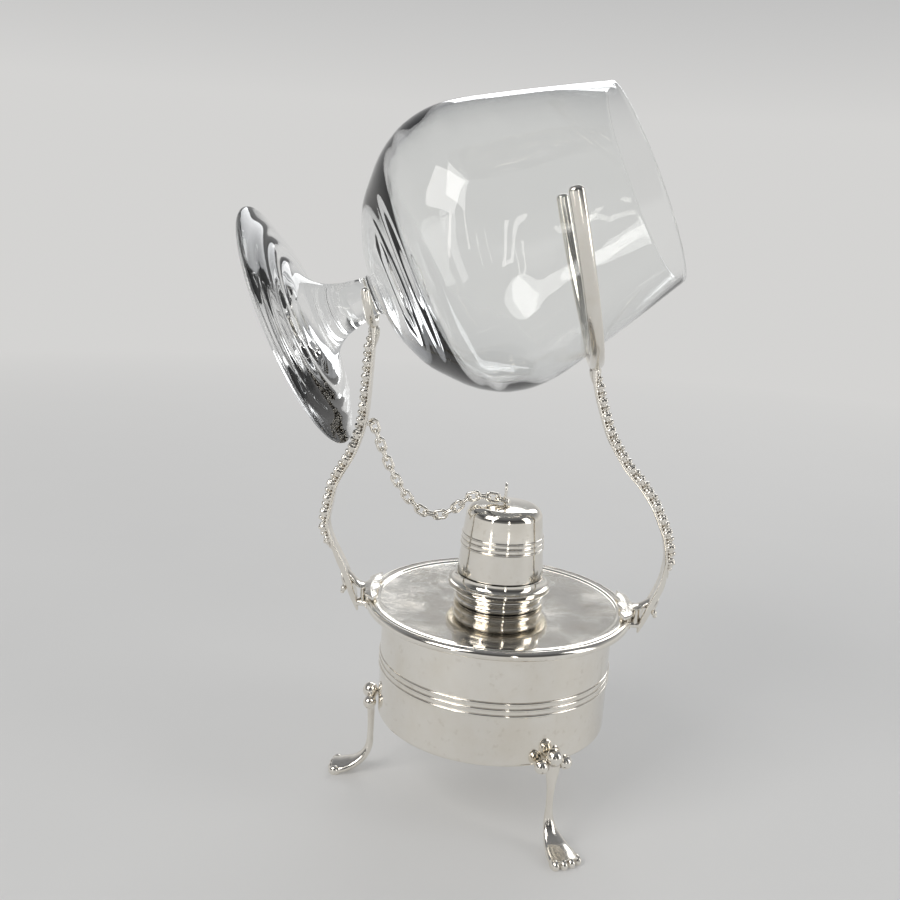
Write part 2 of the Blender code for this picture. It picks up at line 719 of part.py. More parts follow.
def point_at_height(path, height):
    for a, b in zip(path, path[1:]):
        if a.z <= height <= b.z:
            return a.lerp(b, (height - a.z) / max(b.z - a.z, TINY))
    return path[-1]


def build_clasp(name, path, side):
    """Leaves over and under the rim, with a bracket from the strap to each."""
    top_height = RIM_TOP + GAP + LEAF_THICK / 2
    low_height = RIM_UNDER - GAP - LEAF_THICK / 2
    top = build_leaf(name + "_top_leaf", side, top_height, TOP_LEAF_LENGTH)
    low = build_leaf(name + "_low_leaf", side, low_height, LOW_LEAF_LENGTH)
    bar_height = RIM_TOP + GAP + BRACKET_THICK / 2
    root = point_at_height(path, bar_height + BRACKET_RISE)
    seat = Vector((leaf_radius() * side, 0, bar_height))
    upper_path = [root, root.lerp(seat, 0.3), root.lerp(seat, 0.8), seat]
    upper = build_bracket(name + "_upper", upper_path, UPPER_BRACKET_SHARES)
    bar_height = RIM_UNDER - GAP - BRACKET_THICK / 2
    root = point_at_height(path, bar_height)
    seat = Vector((leaf_radius() * side, 0, bar_height))
    lower = build_bracket(name + "_lower", [root, root.lerp(seat, 0.5), seat], LOWER_BRACKET_SHARES)
    return [top, low, upper, lower]


def build_arm(name, side, path, fork):
    strap = build_strap(name, path, side)
    return fuse(strap, [fork] + build_clasp(name, path, side))


def build_arms():
    stem_low, stem_radius = stem_fork()
    stem_path = arm_path(-1, STEM_BULGE_REACH, STEM_BULGE_HEIGHT, stem_low, STEM_LOWER_SHARES,
                         STEM_UPPER_SHARES)
    stem_height = stem_radius + STEM_TIP_RISE
    stem = build_fork("stem_fork", stem_low, STEM_FORK_LEAN, stem_radius, stem_radius, stem_height,
                      STEM_PRONG_WIDE, STEM_PRONG_DEEP, 12)
    build_arm("stem_arm", -1, stem_path, stem)
    bowl_low, bowl_half, bowl_height = bowl_fork()
    bowl_path = arm_path(1, BOWL_BULGE_REACH, BOWL_BULGE_HEIGHT, bowl_low, BOWL_LOWER_SHARES,
                         BOWL_UPPER_SHARES)
    bowl = build_fork("bowl_fork", bowl_low, BOWL_FORK_LEAN, bowl_half, bowl_height, bowl_height,
                      PRONG_WIDE, PRONG_DEEP, 24)
    build_arm("bowl_arm", 1, bowl_path, bowl)
    return stem_path


# The staple and the chain

def staple_bar(stem_path):
    """Middle of the staple's bar, on the inner face of the stem arm."""
    low = point_at_height(stem_path, STAPLE_HEIGHT - LOOP_WIRE / 2)
    high = point_at_height(stem_path, STAPLE_HEIGHT + LOOP_WIRE / 2)
    stretch = (high - low).length / LOOP_WIRE
    foot = max(low.x, high.x) + (STRAP_THICK / 2 + GAP) * stretch
    return Vector((foot + STAPLE_REACH, 0, STAPLE_HEIGHT))


def build_staple(bar):
    points = arch(LOOP_LEG, STAPLE_REACH, ACROSS, Vector((1, 0, 0)))
    curve = wire_curve("chain_staple", points, LOOP_WIRE, False)
    foot = Matrix.Translation((bar.x - STAPLE_REACH, 0, bar.z))
    return add_object("chain_staple", curve, SILVER_PLATE, foot)


def chain_plane(bar):
    """Frame of the chain's upright plane at the loop's front leg, its X axis away from the staple."""
    leg = Vector((0, -LOOP_LEG, 0))
    run = leg - Vector((bar.x, bar.y, 0))
    return Matrix.Translation(leg) @ Matrix.Rotation(math.atan2(run.y, run.x), 4, "Z"), run.length


def chain_route(reach, height, contact):
    """The chain's line in its plane: a hanging curve, over the cap's shoulder and along its top to the leg.

    The contact is the angle, on the cap's rounded shoulder, at which the hanging part touches it.
    """
    offset = CAP_ROUND + CAP_DOME + LINK_WIDTH / 2 + GAP
    centre = Vector((CAP_ROUND - CAP_SHOULDER_RADIUS, 0, CAP_TOP - CAP_DOME - CAP_ROUND))
    touch = centre + Vector((math.cos(contact), 0, math.sin(contact))) * offset
    slope = -1 / math.tan(contact)
    span = -reach - touch.x
    bend = (height - touch.z - slope * span) / span ** 2
    route = []
    for i in range(HANG_STEPS):
        x = span * (1 - i / HANG_STEPS)
        route.append(Vector((touch.x + x, 0, touch.z + slope * x + bend * x * x)))
    crest = math.radians(90)
    for i in range(BEND_STEPS):
        a = contact + (crest - contact) * i / BEND_STEPS
        route.append(centre + Vector((math.cos(a), 0, math.sin(a))) * offset)
    route.append(centre + Vector((0, 0, offset)))
    route.append(Vector((-REST_REACH, 0, centre.z + offset)))
    route.append(Vector((0, 0, LOOP_FOOT + LINK_WIRE / 2 + REST_RISE)))
    return even_path(route, ROUTE_STEPS)[0]


def walk_route(route, lengths):
    """Pins along a route, each a straight length from the last, and what is left of the route."""
    pins = [route[0]]
    i = 0
    for k, length in enumerate(lengths):
        here = pins[-1]
        while i < len(route) - 1 and (route[i + 1] - here).length < length:
            i += 1
        if i == len(route) - 1:
            return pins, -sum(lengths[k:])
        a = route[i]
        b = route[i + 1]
        low, high = 0.0, 1.0
        for _ in range(SEARCH_STEPS):
            middle = (low + high) / 2
            if (a.lerp(b, middle) - here).length < length:
                low = middle
            else:
                high = middle
        pins.append(a.lerp(b, high))
    left = (route[i + 1] - pins[-1]).length
    left += sum((q - p).length for p, q in zip(route[i + 1:], route[i + 2:]))
    return pins, left


def chain_lengths(reach, height):
    """Pivot distances of upright and flat links in turn, as many pairs as the slack share gives."""
    run = math.hypot(reach, height - LOOP_FOOT)
    pair = [2 * LINK_HALF_UPRIGHT, 2 * LINK_HALF_FLAT]
    lengths = pair * round(run * CHAIN_SLACK_SHARE / sum(pair))
    lengths[-1] -= LINK_HOLD
    return lengths


def chain_pins(reach, height):
    """Pivots of the chain from the staple's bar to the loop's leg, with the sag that its length gives."""
    lengths = chain_lengths(reach, height)
    low, high = LEAST_CONTACT, MOST_CONTACT
    for _ in range(SEARCH_STEPS):
        middle = (low + high) / 2
        if walk_route(chain_route(reach, height, middle), lengths)[1] < 0:
            low = middle
        else:
            high = middle
    return walk_route(chain_route(reach, height, high), lengths)[0]


def link_curve(name, offset):
    """One oval link whose first pivot is at the curve's origin."""
    radius = (LINK_WIDTH - LINK_WIRE) / 2
    straight = (LINK_LENGTH - LINK_WIDTH) / 2
    points = []
    for middle, start in ((straight, -90), (-straight, 90)):
        for x, y in arc(offset + middle, 0, radius, start, start + 180, 4):
            points.append((x, y, 0))
    return wire_curve(name, points, LINK_WIRE, True)


def build_chain(bar):
    upright = link_curve("upright_link", LINK_HALF_UPRIGHT)
    flat = link_curve("flat_link", LINK_HALF_FLAT)
    plane, reach = chain_plane(bar)
    pins = chain_pins(reach, bar.z)
    for i, (a, b) in enumerate(zip(pins, pins[1:])):
        along = (b - a).normalized()
        above = along.cross(ACROSS)
        axes = (along, above, ACROSS) if i % 2 == 0 else (along, ACROSS, -above)
        turn = Matrix(axes).transposed().to_4x4()
        curve = upright if i % 2 == 0 else flat
        add_object(f"chain_link_{i + 1:02d}", curve, SILVER_PLATE, plane @ Matrix.Translation(a) @ turn)


# The feet

def build_foot(name, angle):
    """Knee of three balls, a leaf-shaped leg and a toed paw cut flat at the ground."""
    reach = DRUM_RADIUS + FOOT_STANDOFF
    height = FOOT_KNEE - GROUND
    path = [Vector((reach + FOOT_SPREAD * x, 0, GROUND + height * z)) for x, z, w, t in FOOT_SHARES]
    rings = []
    for spot, tangent, (x, z, w, t) in zip(path, tangents(path), FOOT_SHARES):
        normal = Vector((tangent.z, 0, -tangent.x))
        rings.append(oval(spot, normal, ACROSS, FOOT_THICK / 2 * t, FOOT_WIDTH / 2 * w))
    leg = loft(name, rings, CAST_SILVER)
    knee = DRUM_RADIUS + GAP + KNEE_BALL_RADIUS
    balls = [ball(name + "_knee", (knee, 0, KNEE_BALL_HEIGHT), KNEE_BALL_RADIUS, CAST_SILVER)]
    for aside in (-KNEE_SIDE_OFFSET, KNEE_SIDE_OFFSET):
        spot = (DRUM_RADIUS + GAP + KNEE_SIDE_RADIUS, aside, KNEE_BALL_HEIGHT - KNEE_SIDE_DROP)
        balls.append(ball(name + "_side", spot, KNEE_SIDE_RADIUS, CAST_SILVER))
    last = path[-1]
    row = FOOT_WIDTH - TOE_RADIUS * TOE_INSET_SHARE
    toe_height = GROUND + TOE_RADIUS * TOE_LIFT_SHARE
    for i in range(TOE_COUNT):
        aside = row * (i / (TOE_COUNT - 1) - 0.5)
        back = TOE_RADIUS * TOE_BACK_SHARE * abs(2 * i / (TOE_COUNT - 1) - 1)
        spot = (last.x - back, aside, toe_height)
        balls.append(ball(name + "_toe", spot, TOE_RADIUS, CAST_SILVER, 8, 4))
    fuse(leg, balls)
    bpy.ops.mesh.primitive_cube_add(size=1, location=(last.x, 0, GROUND - OVERRUN))
    block = bpy.context.object
    block.dimensions = (FOOT_SPREAD * 4, FOOT_WIDTH * 2, OVERRUN * 2)
    combine(leg, block, "DIFFERENCE")
    smooth(leg.data)
    leg.matrix_world = Matrix.Rotation(angle, 4, "Z")
    return leg


def build_feet():
    """One foot stands under the stem arm and the others are spread evenly from it."""
    for i in range(FOOT_COUNT):
        build_foot(f"foot_{i + 1}", FULL_TURN / 2 + FULL_TURN * i / FOOT_COUNT)


def main():
    build_drum()
    build_deck()
    build_neck()
    build_burner()
    build_wick()
    build_cap()
    build_cap_loop()
    build_glass()
    stem_path = build_arms()
    bar = staple_bar(stem_path)
    build_staple(bar)
    build_chain(bar)
    build_feet()
    bpy.context.view_layer.update()


main()
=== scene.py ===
"""Looks of the brandy warmer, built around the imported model. All sizes are in metres."""

import json
import math

import bmesh
import bpy
import numpy as np
from mathutils import Matrix, Vector


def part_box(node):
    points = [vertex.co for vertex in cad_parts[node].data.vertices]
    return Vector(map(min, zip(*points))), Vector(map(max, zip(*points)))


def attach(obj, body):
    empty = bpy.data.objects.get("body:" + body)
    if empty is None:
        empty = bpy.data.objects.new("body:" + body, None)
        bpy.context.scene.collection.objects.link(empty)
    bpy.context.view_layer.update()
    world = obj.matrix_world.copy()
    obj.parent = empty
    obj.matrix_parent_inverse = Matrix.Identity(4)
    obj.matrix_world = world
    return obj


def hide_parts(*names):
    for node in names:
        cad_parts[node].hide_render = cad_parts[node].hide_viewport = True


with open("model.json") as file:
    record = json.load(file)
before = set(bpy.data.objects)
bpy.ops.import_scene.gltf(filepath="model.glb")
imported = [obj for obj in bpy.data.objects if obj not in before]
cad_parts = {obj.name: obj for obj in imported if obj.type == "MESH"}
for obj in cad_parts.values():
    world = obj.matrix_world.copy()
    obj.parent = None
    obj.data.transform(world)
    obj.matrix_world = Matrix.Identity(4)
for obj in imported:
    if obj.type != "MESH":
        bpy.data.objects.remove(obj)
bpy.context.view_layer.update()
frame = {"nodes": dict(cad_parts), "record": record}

FULL_TURN = math.radians(360)
TINY = 0.00001

# The photograph's camera: image width in pixels, focal length in pixels, and the view
IMAGE_WIDTH = 900
FOCAL_PIXELS = 1033.85
SENSOR = 36
VIEW_CLIP = (0.01, 100)
VIEW_TARGET = Vector((-0.01961, 0, 0.09239))
VIEW_DISTANCE = 0.34346
VIEW_AZIMUTH = math.radians(2.66)
VIEW_ELEVATION = math.radians(12.59)
VIEW_ROLL = math.radians(3.63)

# Facets of turned pieces and of wires, and the angles of the rings in a dome at a wire's or a prong's end
ROUND_STEPS = 160
FACETS = {"reservoir_drum": 224, "deck_plate": 224, "snuffer_cap": 192, "balloon_glass": 192}
WIRE_SIDES = 20
DOME_ANGLES = [math.radians(a) for a in (25, 50, 75)]
PRONG_DOME_ANGLES = [math.radians(a) for a in (20, 40, 60, 78)]

# How far polishing has rounded the corners of a turned piece, the least turn that counts as a corner, and
# the most of an edge that the rounding takes
POLISH_ROUNDS = {"reservoir_drum": 0.0002, "deck_plate": 0.00025, "neck_collar": 0.0001,
                 "burner_flange": 0.00018, "snuffer_cap": 0.00015}
FLAT_ANGLE = math.radians(12)
CUT_SHARE = 0.4

# Reservoir drum
DRUM_RADIUS = 0.0392
DRUM_WALL = 0.0009
DRUM_FLOOR = 0.0012
DRUM_CORNER = 0.0018
DRUM_REED_HEIGHT = 0.0198
DRUM_REED_PITCH = 0.0021
DRUM_REED_RADIUS = 0.0005
REED_COUNT = 3

# Deck plate
DECK_RADIUS = 0.0452
DECK_BORDER_WIDTH = 0.0034
DECK_BORDER_SLOPE = 0.0007
DECK_BORDER_RISE = 0.0005
RIM_ROLL_RADIUS = 0.0016
DECK_SHEET = 0.0010

# Neck collar and burner
NECK_RADIUS = 0.0141
NECK_WALL = 0.0028
NECK_BEAD_RADIUS = 0.0011
NECK_BEAD_PITCH = 0.0026
NECK_BEAD_FOOT = 0.0013
GAP = 0.0003
FLANGE_RADIUS = 0.0173
FLANGE_LIP = 0.0014
FLANGE_RISE = 0.0047
FLANGE_CHAMFER = 0.0006
FLANGE_THICK = 0.0013
SEAT_MARGIN = 0.0003
SKIRT_WALL = 0.0010
SKIRT_DEPTH = 0.0085
TUBE_WALL = 0.0009
TUBE_FOOT = 0.0009

# Wick: its facets, its braid, and how its frayed top draws in
WICK_RADIUS = 0.0030
WICK_STEPS = 96
WICK_LEVELS = 260
WICK_STRANDS = 5
WICK_PITCH = 0.0070
WICK_GROOVE_SHARE = 0.10
WICK_FRAY_SHARE = 0.35
WICK_LEAST_SHARE = 0.04
WICK_DROP_SHARE = 0.75

# Snuffer cap
CAP_RADIUS = 0.0146
CAP_SHOULDER_RADIUS = 0.0129
CAP_WALL = 0.0010
CAP_ROUND = 0.0038
CAP_DOME = 0.0005
CAP_REED_HEIGHT = 0.0116
CAP_REED_PITCH = 0.0018
CAP_REED_RADIUS = 0.0004

# Wires
LOOP_WIRE = 0.0010
LOOP_WIDTH = 0.0048
LINK_LENGTH = 0.0056
LINK_WIDTH = 0.0036

# Solder: the height at which an arch starts in its beads, and each bead's height and radius from its foot
# up, as shares of the wire; then the place, reach, side and swell of a link's seam
ARCH_LIFT_SHARE = 0.3
SOLDER_SHARES = ((0, 0.74), (0.10, 0.72), (0.28, 0.60), (0.50, 0.515))
SEAM_PLACE_SHARE = 0.2
SEAM_REACH_SHARE = 0.45
SEAM_SIDE_SHARE = 0.6
SEAM_SWELL_SHARE = 0.07

# Arms and forks
STRAP_WIDTH = 0.0064
STRAP_THICK = 0.0024
RELIEF_HEIGHT = 0.0016
RELIEF_PITCH = 0.0049
ARM_TIP_HEIGHT = 0.0336
ARM_TIP_STANDOFF = 0.0030
STEM_BULGE_REACH = 0.0601
STEM_BULGE_HEIGHT = 0.0645
BOWL_BULGE_REACH = 0.0556
BOWL_BULGE_HEIGHT = 0.0610
STEM_FORK_REACH = 0.0470
STEM_FORK_HEIGHT = 0.1324
PRONG_WIDE = 0.0030
PRONG_DEEP = 0.0046
STEM_PRONG_WIDE = 0.0026
STEM_PRONG_DEEP = 0.0030
STEM_FORK_LEAN = math.radians(10)
BOWL_FORK_LEAN = math.radians(14.2)
STEM_FORK_CLEAR = 0.0006
STEM_TIP_RISE = 0.0022
BOWL_FORK_CLEAR = 0.0028
BOWL_UNDER_CLEAR = 0.0080
BOWL_TIP_RISE = 0.0060

# A strap's taper to its top, and how wide and how thick it starts in the point at its tip
STRAP_TAPER_SHARE = 0.18
STRAP_TIP_SHARE = 0.25
TIP_RUN_SHARE = 0.11
STRAP_POINT_SHARES = (0.30, 0.085)

# Leaves on the rim: their lobes and points, and the rib and veins of their faces
LEAF_THICK = 0.0013
LEAF_WIDTH = 0.0040
TOP_LEAF_LENGTH = 0.0270
TOP_LEAF_THICK = 0.0021
TOP_LEAF_WIDTH = 0.0054
LOW_LEAF_LENGTH = 0.0200
LEAF_LOBES = 3
LEAF_LOBE_SHARE = 0.20
LEAF_POINT_SHARE = 0.10
LEAF_WIDE_POWER = 0.7
LEAF_THICK_POWER = 0.3
LEAF_RIB_SHARE = 0.22
LEAF_VEINS = 7
LEAF_VEIN_LEAN = 0.8
LEAF_FACE_SHARES = (0.82, 0.20, 0.12)

# Branches between strap and rim, on the left (-1) and on the right (1): the height of the upper one's
# root, its bends as shares of the way over and down, the half widths, and the web's reach
BRACKET_THICK = 0.0017
LOWER_BRACKET_THICK = 0.0027
BRANCH_RISE_SHARES = {-1: 0.92, 1: 0.50}
BRANCH_BEND_SHARES = ((0.24, 0.42), (0.46, 0.80), (0.66, 0.98))
UPPER_BRACKET_SHARES = (0.30, 0.32, 0.38, 0.46, 0.30)
LOWER_BRACKET_SHARES = (0.26, 0.32, 0.40)
WEB_SHARES = {-1: 0.62, 1: 1.0}

# Small spurs: a point's least swell, height and width of the rib; then half width and half height of the
# one on the rim, of the one at the tip, and of the one at the fork after its rise, reach and drop
SPUR_ASIDE_SHARE = 0.9
SPUR_POINT_SHARE = 0.06
SPUR_RIB_SHARES = (0.25, 0.25)
RIM_SPUR_SHARES = (0.42, 0.5)
TIP_SPUR_SHARES = (0.26, 0.4)
JOINT_SPUR_SHARES = (0.4, 0.30, 1.25, 0.36, 0.66)

# The tip's spur from end to end, and its berries: height, reach out, place aside and radius
TIP_SPUR_PLACES = ((1.15, 0.45), (2.1, 0.75))
TIP_BERRY_SHARES = ((1.25, 1.00, -0.22, 0.165), (1.02, 1.42, -0.10, 0.115), (1.25, 1.00, 0.22, 0.165))

# Balloon glass, along its own axis from the foot's base
GLASS_LENGTH = 0.1210
GLASS_TILT = math.radians(25.6)
GLASS_FOOT_RADIUS = 0.0410
GLASS_FOOT_EDGE = 0.0017
STEM_RADIUS = 0.0066
STEM_TOP = 0.0282
BOWL_RADIUS = 0.0465
RIM_RADIUS = 0.0328
BOWL_WALL = 0.0015
BOWL_FLOOR = 0.0138
STEM_SEAT = 0.0266
BOWL_SEAT = 0.0957
FOOT_CONE_SHARES = ((0.18, 0.68), (0.24, 0.40), (0.34, 0.20), (0.47, 0.10), (0.62, 0.045), (0.80, 0.012))
BOWL_OUTER_SHARES = ((0.020, 0.235), (0.035, 0.365), (0.085, 0.585), (0.145, 0.730), (0.210, 0.855),
                     (0.285, 0.945), (0.345, 0.984), (0.408, 1.000), (0.472, 0.993), (0.538, 0.968),
                     (0.640, 0.913), (0.820, 0.810))
BOWL_INNER_SHARES = ((0.000, 0.42), (0.015, 0.60), (0.070, 0.785), (0.145, 0.895), (0.225, 0.962),
                     (0.312, 1.000), (0.400, 0.992), (0.490, 0.962), (0.600, 0.913), (0.800, 0.812))

# The flat of the bowl's floor, and the foot's upper edge and its underside from the edge inwards
BOWL_FLAT_SHARE = 0.2
EDGE_IN_SHARE = 0.6
EDGE_UP_SHARE = 1.15
FOOT_UNDER_SHARES = ((0.5, 0.5), (0, 0.7))

# Rings that turning left in the glass's foot
WAVE_START_SHARE = 1.6
WAVE_TOP_SHARE = 0.4
WAVE_HEIGHT = 0.00022
WAVE_COUNT = 4.5
WAVE_CLEAR = 0.0001

# Shares of an arm's outline: reach and height, between its tip, its bulge and its fork
STEM_LOWER_SHARES = ((0.0, 0.0), (0.227, 0.296), (0.345, 0.410), (0.471, 0.521), (0.625, 0.631),
                     (0.785, 0.744), (0.920, 0.864), (1.0, 1.0))
STEM_UPPER_SHARES = ((0.050, 0.072), (0.155, 0.183), (0.270, 0.237), (0.425, 0.292), (0.569, 0.343),
                     (0.678, 0.391), (0.797, 0.463), (0.880, 0.541), (0.923, 0.640), (0.964, 0.817),
                     (1.0, 1.0))
BOWL_LOWER_SHARES = ((0.0, 0.0), (0.243, 0.241), (0.420, 0.372), (0.640, 0.511), (0.830, 0.650),
                     (0.950, 0.788), (1.0, 1.0))
BOWL_UPPER_SHARES = ((0.043, 0.110), (0.097, 0.169), (0.208, 0.276), (0.366, 0.380), (0.466, 0.431),
                     (0.560, 0.480), (0.700, 0.579), (0.775, 0.640), (0.849, 0.728), (0.923, 0.829),
                     (0.975, 0.928), (1.0, 1.0))

# Cast relief, unit by unit: place along the unit, place across the strap's half width and height of
# its middle, then half length, half width and half height, and the lean of a leaf's lobe in degrees
RELIEF_SHARES = ((0.00, 0.00, 0.58, 0.21, 0.44, 0.42, 0), (0.27, 0.70, 0.26, 0.15, 0.26, 0.44, 30),
                 (0.50, 0.76, 0.30, 0.19, 0.27, 0.62, 8), (0.72, 0.70, 0.26, 0.14, 0.25, 0.42, -20),
                 (0.50, 0.26, 0.52, 0.22, 0.22, 0.44, 0), (0.97, 0.70, 0.20, 0.09, 0.22, 0.30, 0))

# How much of its height the relief reaches, and how it grows from the root and closes in a point at the top
CROWN_SHARE = 0.97
LEAST_GROWTH = 0.12
WIDE_GROWTH = (0.45, 0.55)
LONG_GROWTH = (0.6, 0.4)
RELIEF_END_SHARES = (0.30, 0.35)
RELIEF_START_SHARE = 0.17
RELIEF_GROW_SHARE = 0.12
RELIEF_POINT_SHARE = 0.035

# The strap's outline from its back to the middle of its face: height, share of the half width, and how
# much of that goes as the relief grows. Heights count in EDGE_ROUND from back and edge, or in the ground
EDGE_ROUND = 0.00018
GROUND_SHARES = (0.22, 0.05)
EDGE_SHARES = (0.30, 0.50)
STRAP_BACK_SHARES = ((0, 0.86), (1, 0.97), (2.5, 1.0))
STRAP_EDGE_SHARES = ((0, 1.0, 0), (1, 0.95, 0), (1, 0.92, 0.20))
STRAP_FACE_SHARES = ((0.85, 0.86, 0.20), (1, 0.45, 0), (1.08, 0, 0))

# Feet
FOOT_COUNT = 3
FOOT_HEIGHT = 0.0272
FOOT_STANDOFF = 0.0024
FOOT_SPREAD = 0.0138
FOOT_KNEE = 0.0065
FOOT_WIDTH = 0.0102
FOOT_THICK = 0.0034
KNEE_BALL_RADIUS = 0.0027
KNEE_SIDE_RADIUS = 0.0023
KNEE_SIDE_OFFSET = 0.0044
KNEE_SIDE_DROP = 0.0026
KNEE_BALL_HEIGHT = 0.0042
TOE_RADIUS = 0.0018
TOE_COUNT = 4
TOE_LIFT_SHARE = 0.7
TOE_INSET_SHARE = 1.2
TOE_BOW_SHARE = 0.5
TOE_BACK_SHARE = 0.25
TOE_SHARES = (1.25, 0.80, 1)

# Flutes of the paw and the two ridges of the leg: where they start, end and meet, and how deep they are
FLUTE_START_SHARE = 0.58
FLUTE_DEPTH_SHARE = 0.16
FLUTE_FADE = 5
RIDGE_FADE = 8
RIDGE_SHARES = (0.15, 0.62, 0.42)
RIDGE_SPLIT_SHARES = (0.62, 0.55)
RIDGE_WIDTH_SHARE = 0.24
RIDGE_GROUND_SHARE = 0.55
RIDGE_DEPTH_SHARE = 0.34

# A foot from its knee down: reach, height, width and thickness
FOOT_SHARES = ((0.00, 1.00, 0.30, 0.62), (0.00, 0.90, 0.58, 0.95), (0.01, 0.75, 0.44, 0.80),
               (0.00, 0.60, 0.27, 0.66), (0.00, 0.44, 0.23, 0.62), (0.02, 0.30, 0.32, 0.75),
               (0.14, 0.19, 0.52, 0.92), (0.38, 0.105, 0.78, 1.05), (0.68, 0.055, 1.00, 1.22),
               (0.93, 0.045, 0.90, 1.05))

# The floor: its colours, its reach before it has faded into the backdrop, and the fade's course
PALE = (0.66, 0.655, 0.645)
FLOOR_TONES = ((0.64, 0.635, 0.625), (0.68, 0.675, 0.665))
FLOOR_ROUGH = 0.7
FLOOR_STEPS = 96
FLOOR_RADIUS = 8
FLOOR_REACH = 2.0
FLOOR_GLOW = 0.25
FLOOR_STOPS = ((0.0, FLOOR_GLOW), (0.12, FLOOR_GLOW), (0.55, 1.0))

# The backdrop from the horizon up, behind the object and on the camera's side, the change from one to
# the other, and the light that comes from all round
HIGH_TONE = (0.20, 0.205, 0.215)
BACK_STOPS = ((0.0, PALE), (0.10, PALE), (0.24, 0.50), (0.55, (0.24, 0.245, 0.255)), (1.0, HIGH_TONE))
FRONT_STOPS = ((0.0, PALE), (0.03, (0.50, 0.497, 0.49)), (0.12, 0.16), (0.45, (0.05, 0.05, 0.053)),
               (1.0, HIGH_TONE))
SIDE_STOPS = ((0.32, 0.0), (0.62, 1.0))
SOFT_TONE = (0.95, 0.97, 1.0)
SOFT_STRENGTH = 0.45

# Lamps: name, place, width, height, power and colour. All of them look at the same spot
LAMP_AIM = Vector((0, 0, 0.09))
LAMPS = (("key_softbox", (-0.75, -0.75, 0.95), 0.7, 0.7, 7.4, (1.0, 0.985, 0.96)),
         ("side_softbox", (1.0, -0.25, 0.45), 0.35, 0.9, 2.6, (1.0, 0.99, 0.97)),
         ("left_strip", (-0.62, -0.95, 0.20), 0.05, 0.80, 0.55, (1.0, 0.97, 0.93)),
         ("right_strip", (0.30, -1.05, 0.25), 0.04, 0.70, 0.40, (1.0, 0.98, 0.95)),
         ("back_softbox", (0.25, 1.1, 0.75), 1.0, 0.4, 3.6, (0.97, 0.985, 1.0)))

# Colours of metal, glass and cotton
SILVER = (0.90, 0.87, 0.81)
PLATE_WARM = (0.76, 0.69, 0.57)
PLATE_SPOT = (0.55, 0.47, 0.36)
GROOVE_DARK = (0.20, 0.16, 0.11)
CAST_WARM = (0.74, 0.67, 0.56)
HOLLOW_DARK = (0.20, 0.155, 0.105)
GLASS_CLEAR = (0.985, 0.992, 0.988)
COTTON_SHADE = (0.62, 0.56, 0.44)
COTTON_PALE = (0.88, 0.85, 0.76)
SCORCHED = (0.035, 0.028, 0.022)

# Noise: scale, detail and roughness, for patches the two values between which they come up, and how far
# hairs and fibres are squeezed along each axis
PLATE_CLOUDS = (70, 5, 0.6, 0.42, 0.72)
PLATE_SPOTS = (420, 3, 0.5, 0.60, 0.74)
PLATE_SMEARS = (55, 4, 0.6, 0.45, 0.70)
PLATE_HAIRS = (1, 2, 0.5, 0.60, 0.66)
PLATE_TOP_HAIRS = (1, 2, 0.5, 0.61, 0.67)
PLATE_FINE = (900, 3, 0.6)
PLATE_DENTS = (95, 2, 0.4)
CAST_CLOUDS = (120, 4, 0.6, 0.40, 0.75)
CAST_PITS = (2600, 3, 0.6, 0.30, 0.55)
CAST_GRAIN = (650, 5, 0.65)
GLASS_SMEARS = (60, 5, 0.65, 0.50, 0.78)
GLASS_WAVES = (38, 1, 0.3)
COTTON_FIBRES = (1, 4, 0.7)
FLOOR_CLOUDS = (9, 3, 0.5)
HAIR_SQUEEZE = (900, 9000, 2500)
TOP_HAIR_SQUEEZE = (7000, 600, 2500)
FIBRE_SQUEEZE = (3200, 3200, 900)

# Bumps: strength and depth
DENT_BUMP = (0.20, 0.0001)
SCRATCH_BUMP = (0.035, 0.00003)
GRAIN_BUMP = (0.16, 0.0001)
PIT_BUMP = (0.10, 0.00005)
WAVE_BUMP = (0.10, 0.0002)
COTTON_BUMP = (0.6, 0.0002)

# How much of a pattern shows in the colour, and how much roughness it adds
CLOUD_SHARE = 0.35
SPOT_SHARE = 0.22
GROOVE_STOPS = ((0.40, 1.0), (0.488, 0.0))
GROOVE_SHARE = 0.8
GRAIN_SHARE = 0.35
HOLLOW_STOPS = ((0.48, 0.0), (0.86, 1.0))
HOLLOW_SHARE = 0.85
PLATE_ROUGH = 0.035
FINE_ROUGH = 0.05
SMEAR_ROUGH = 0.09
CAST_ROUGH = 0.06
GRAIN_ROUGH = 0.14
HOLLOW_ROUGH = 0.30
GLASS_ROUGH = 0.035
GLASS_INDEX = 1.5
COTTON_ROUGH = 0.95
FIBRE_SCORCH = 0.9
LEAST_SCORCH = 0.35
SCORCH_START = 0.0032
SCORCH_END = 0.0006

# Remeshed castings
ARM_VOXEL = 0.00017
FOOT_VOXEL = 0.00014
ARCH_VOXEL = 0.00006

# Relaxing of a casting's skin, and how far its hollows are looked for and how strongly they show
RELAX_IN = 0.5
RELAX_OUT = 0.52
HOLLOW_REACH = 14
HOLLOW_BLUR = 3
HOLLOW_GAIN = 0.55

ALONG = Vector((math.cos(GLASS_TILT), 0, math.sin(GLASS_TILT)))
ACROSS = Vector((0, 1, 0))
GROUND = -FOOT_HEIGHT


# The camera, floor and light

def add_object(name, data):
    obj = bpy.data.objects.new(name, data)
    bpy.context.scene.collection.objects.link(obj)
    return obj


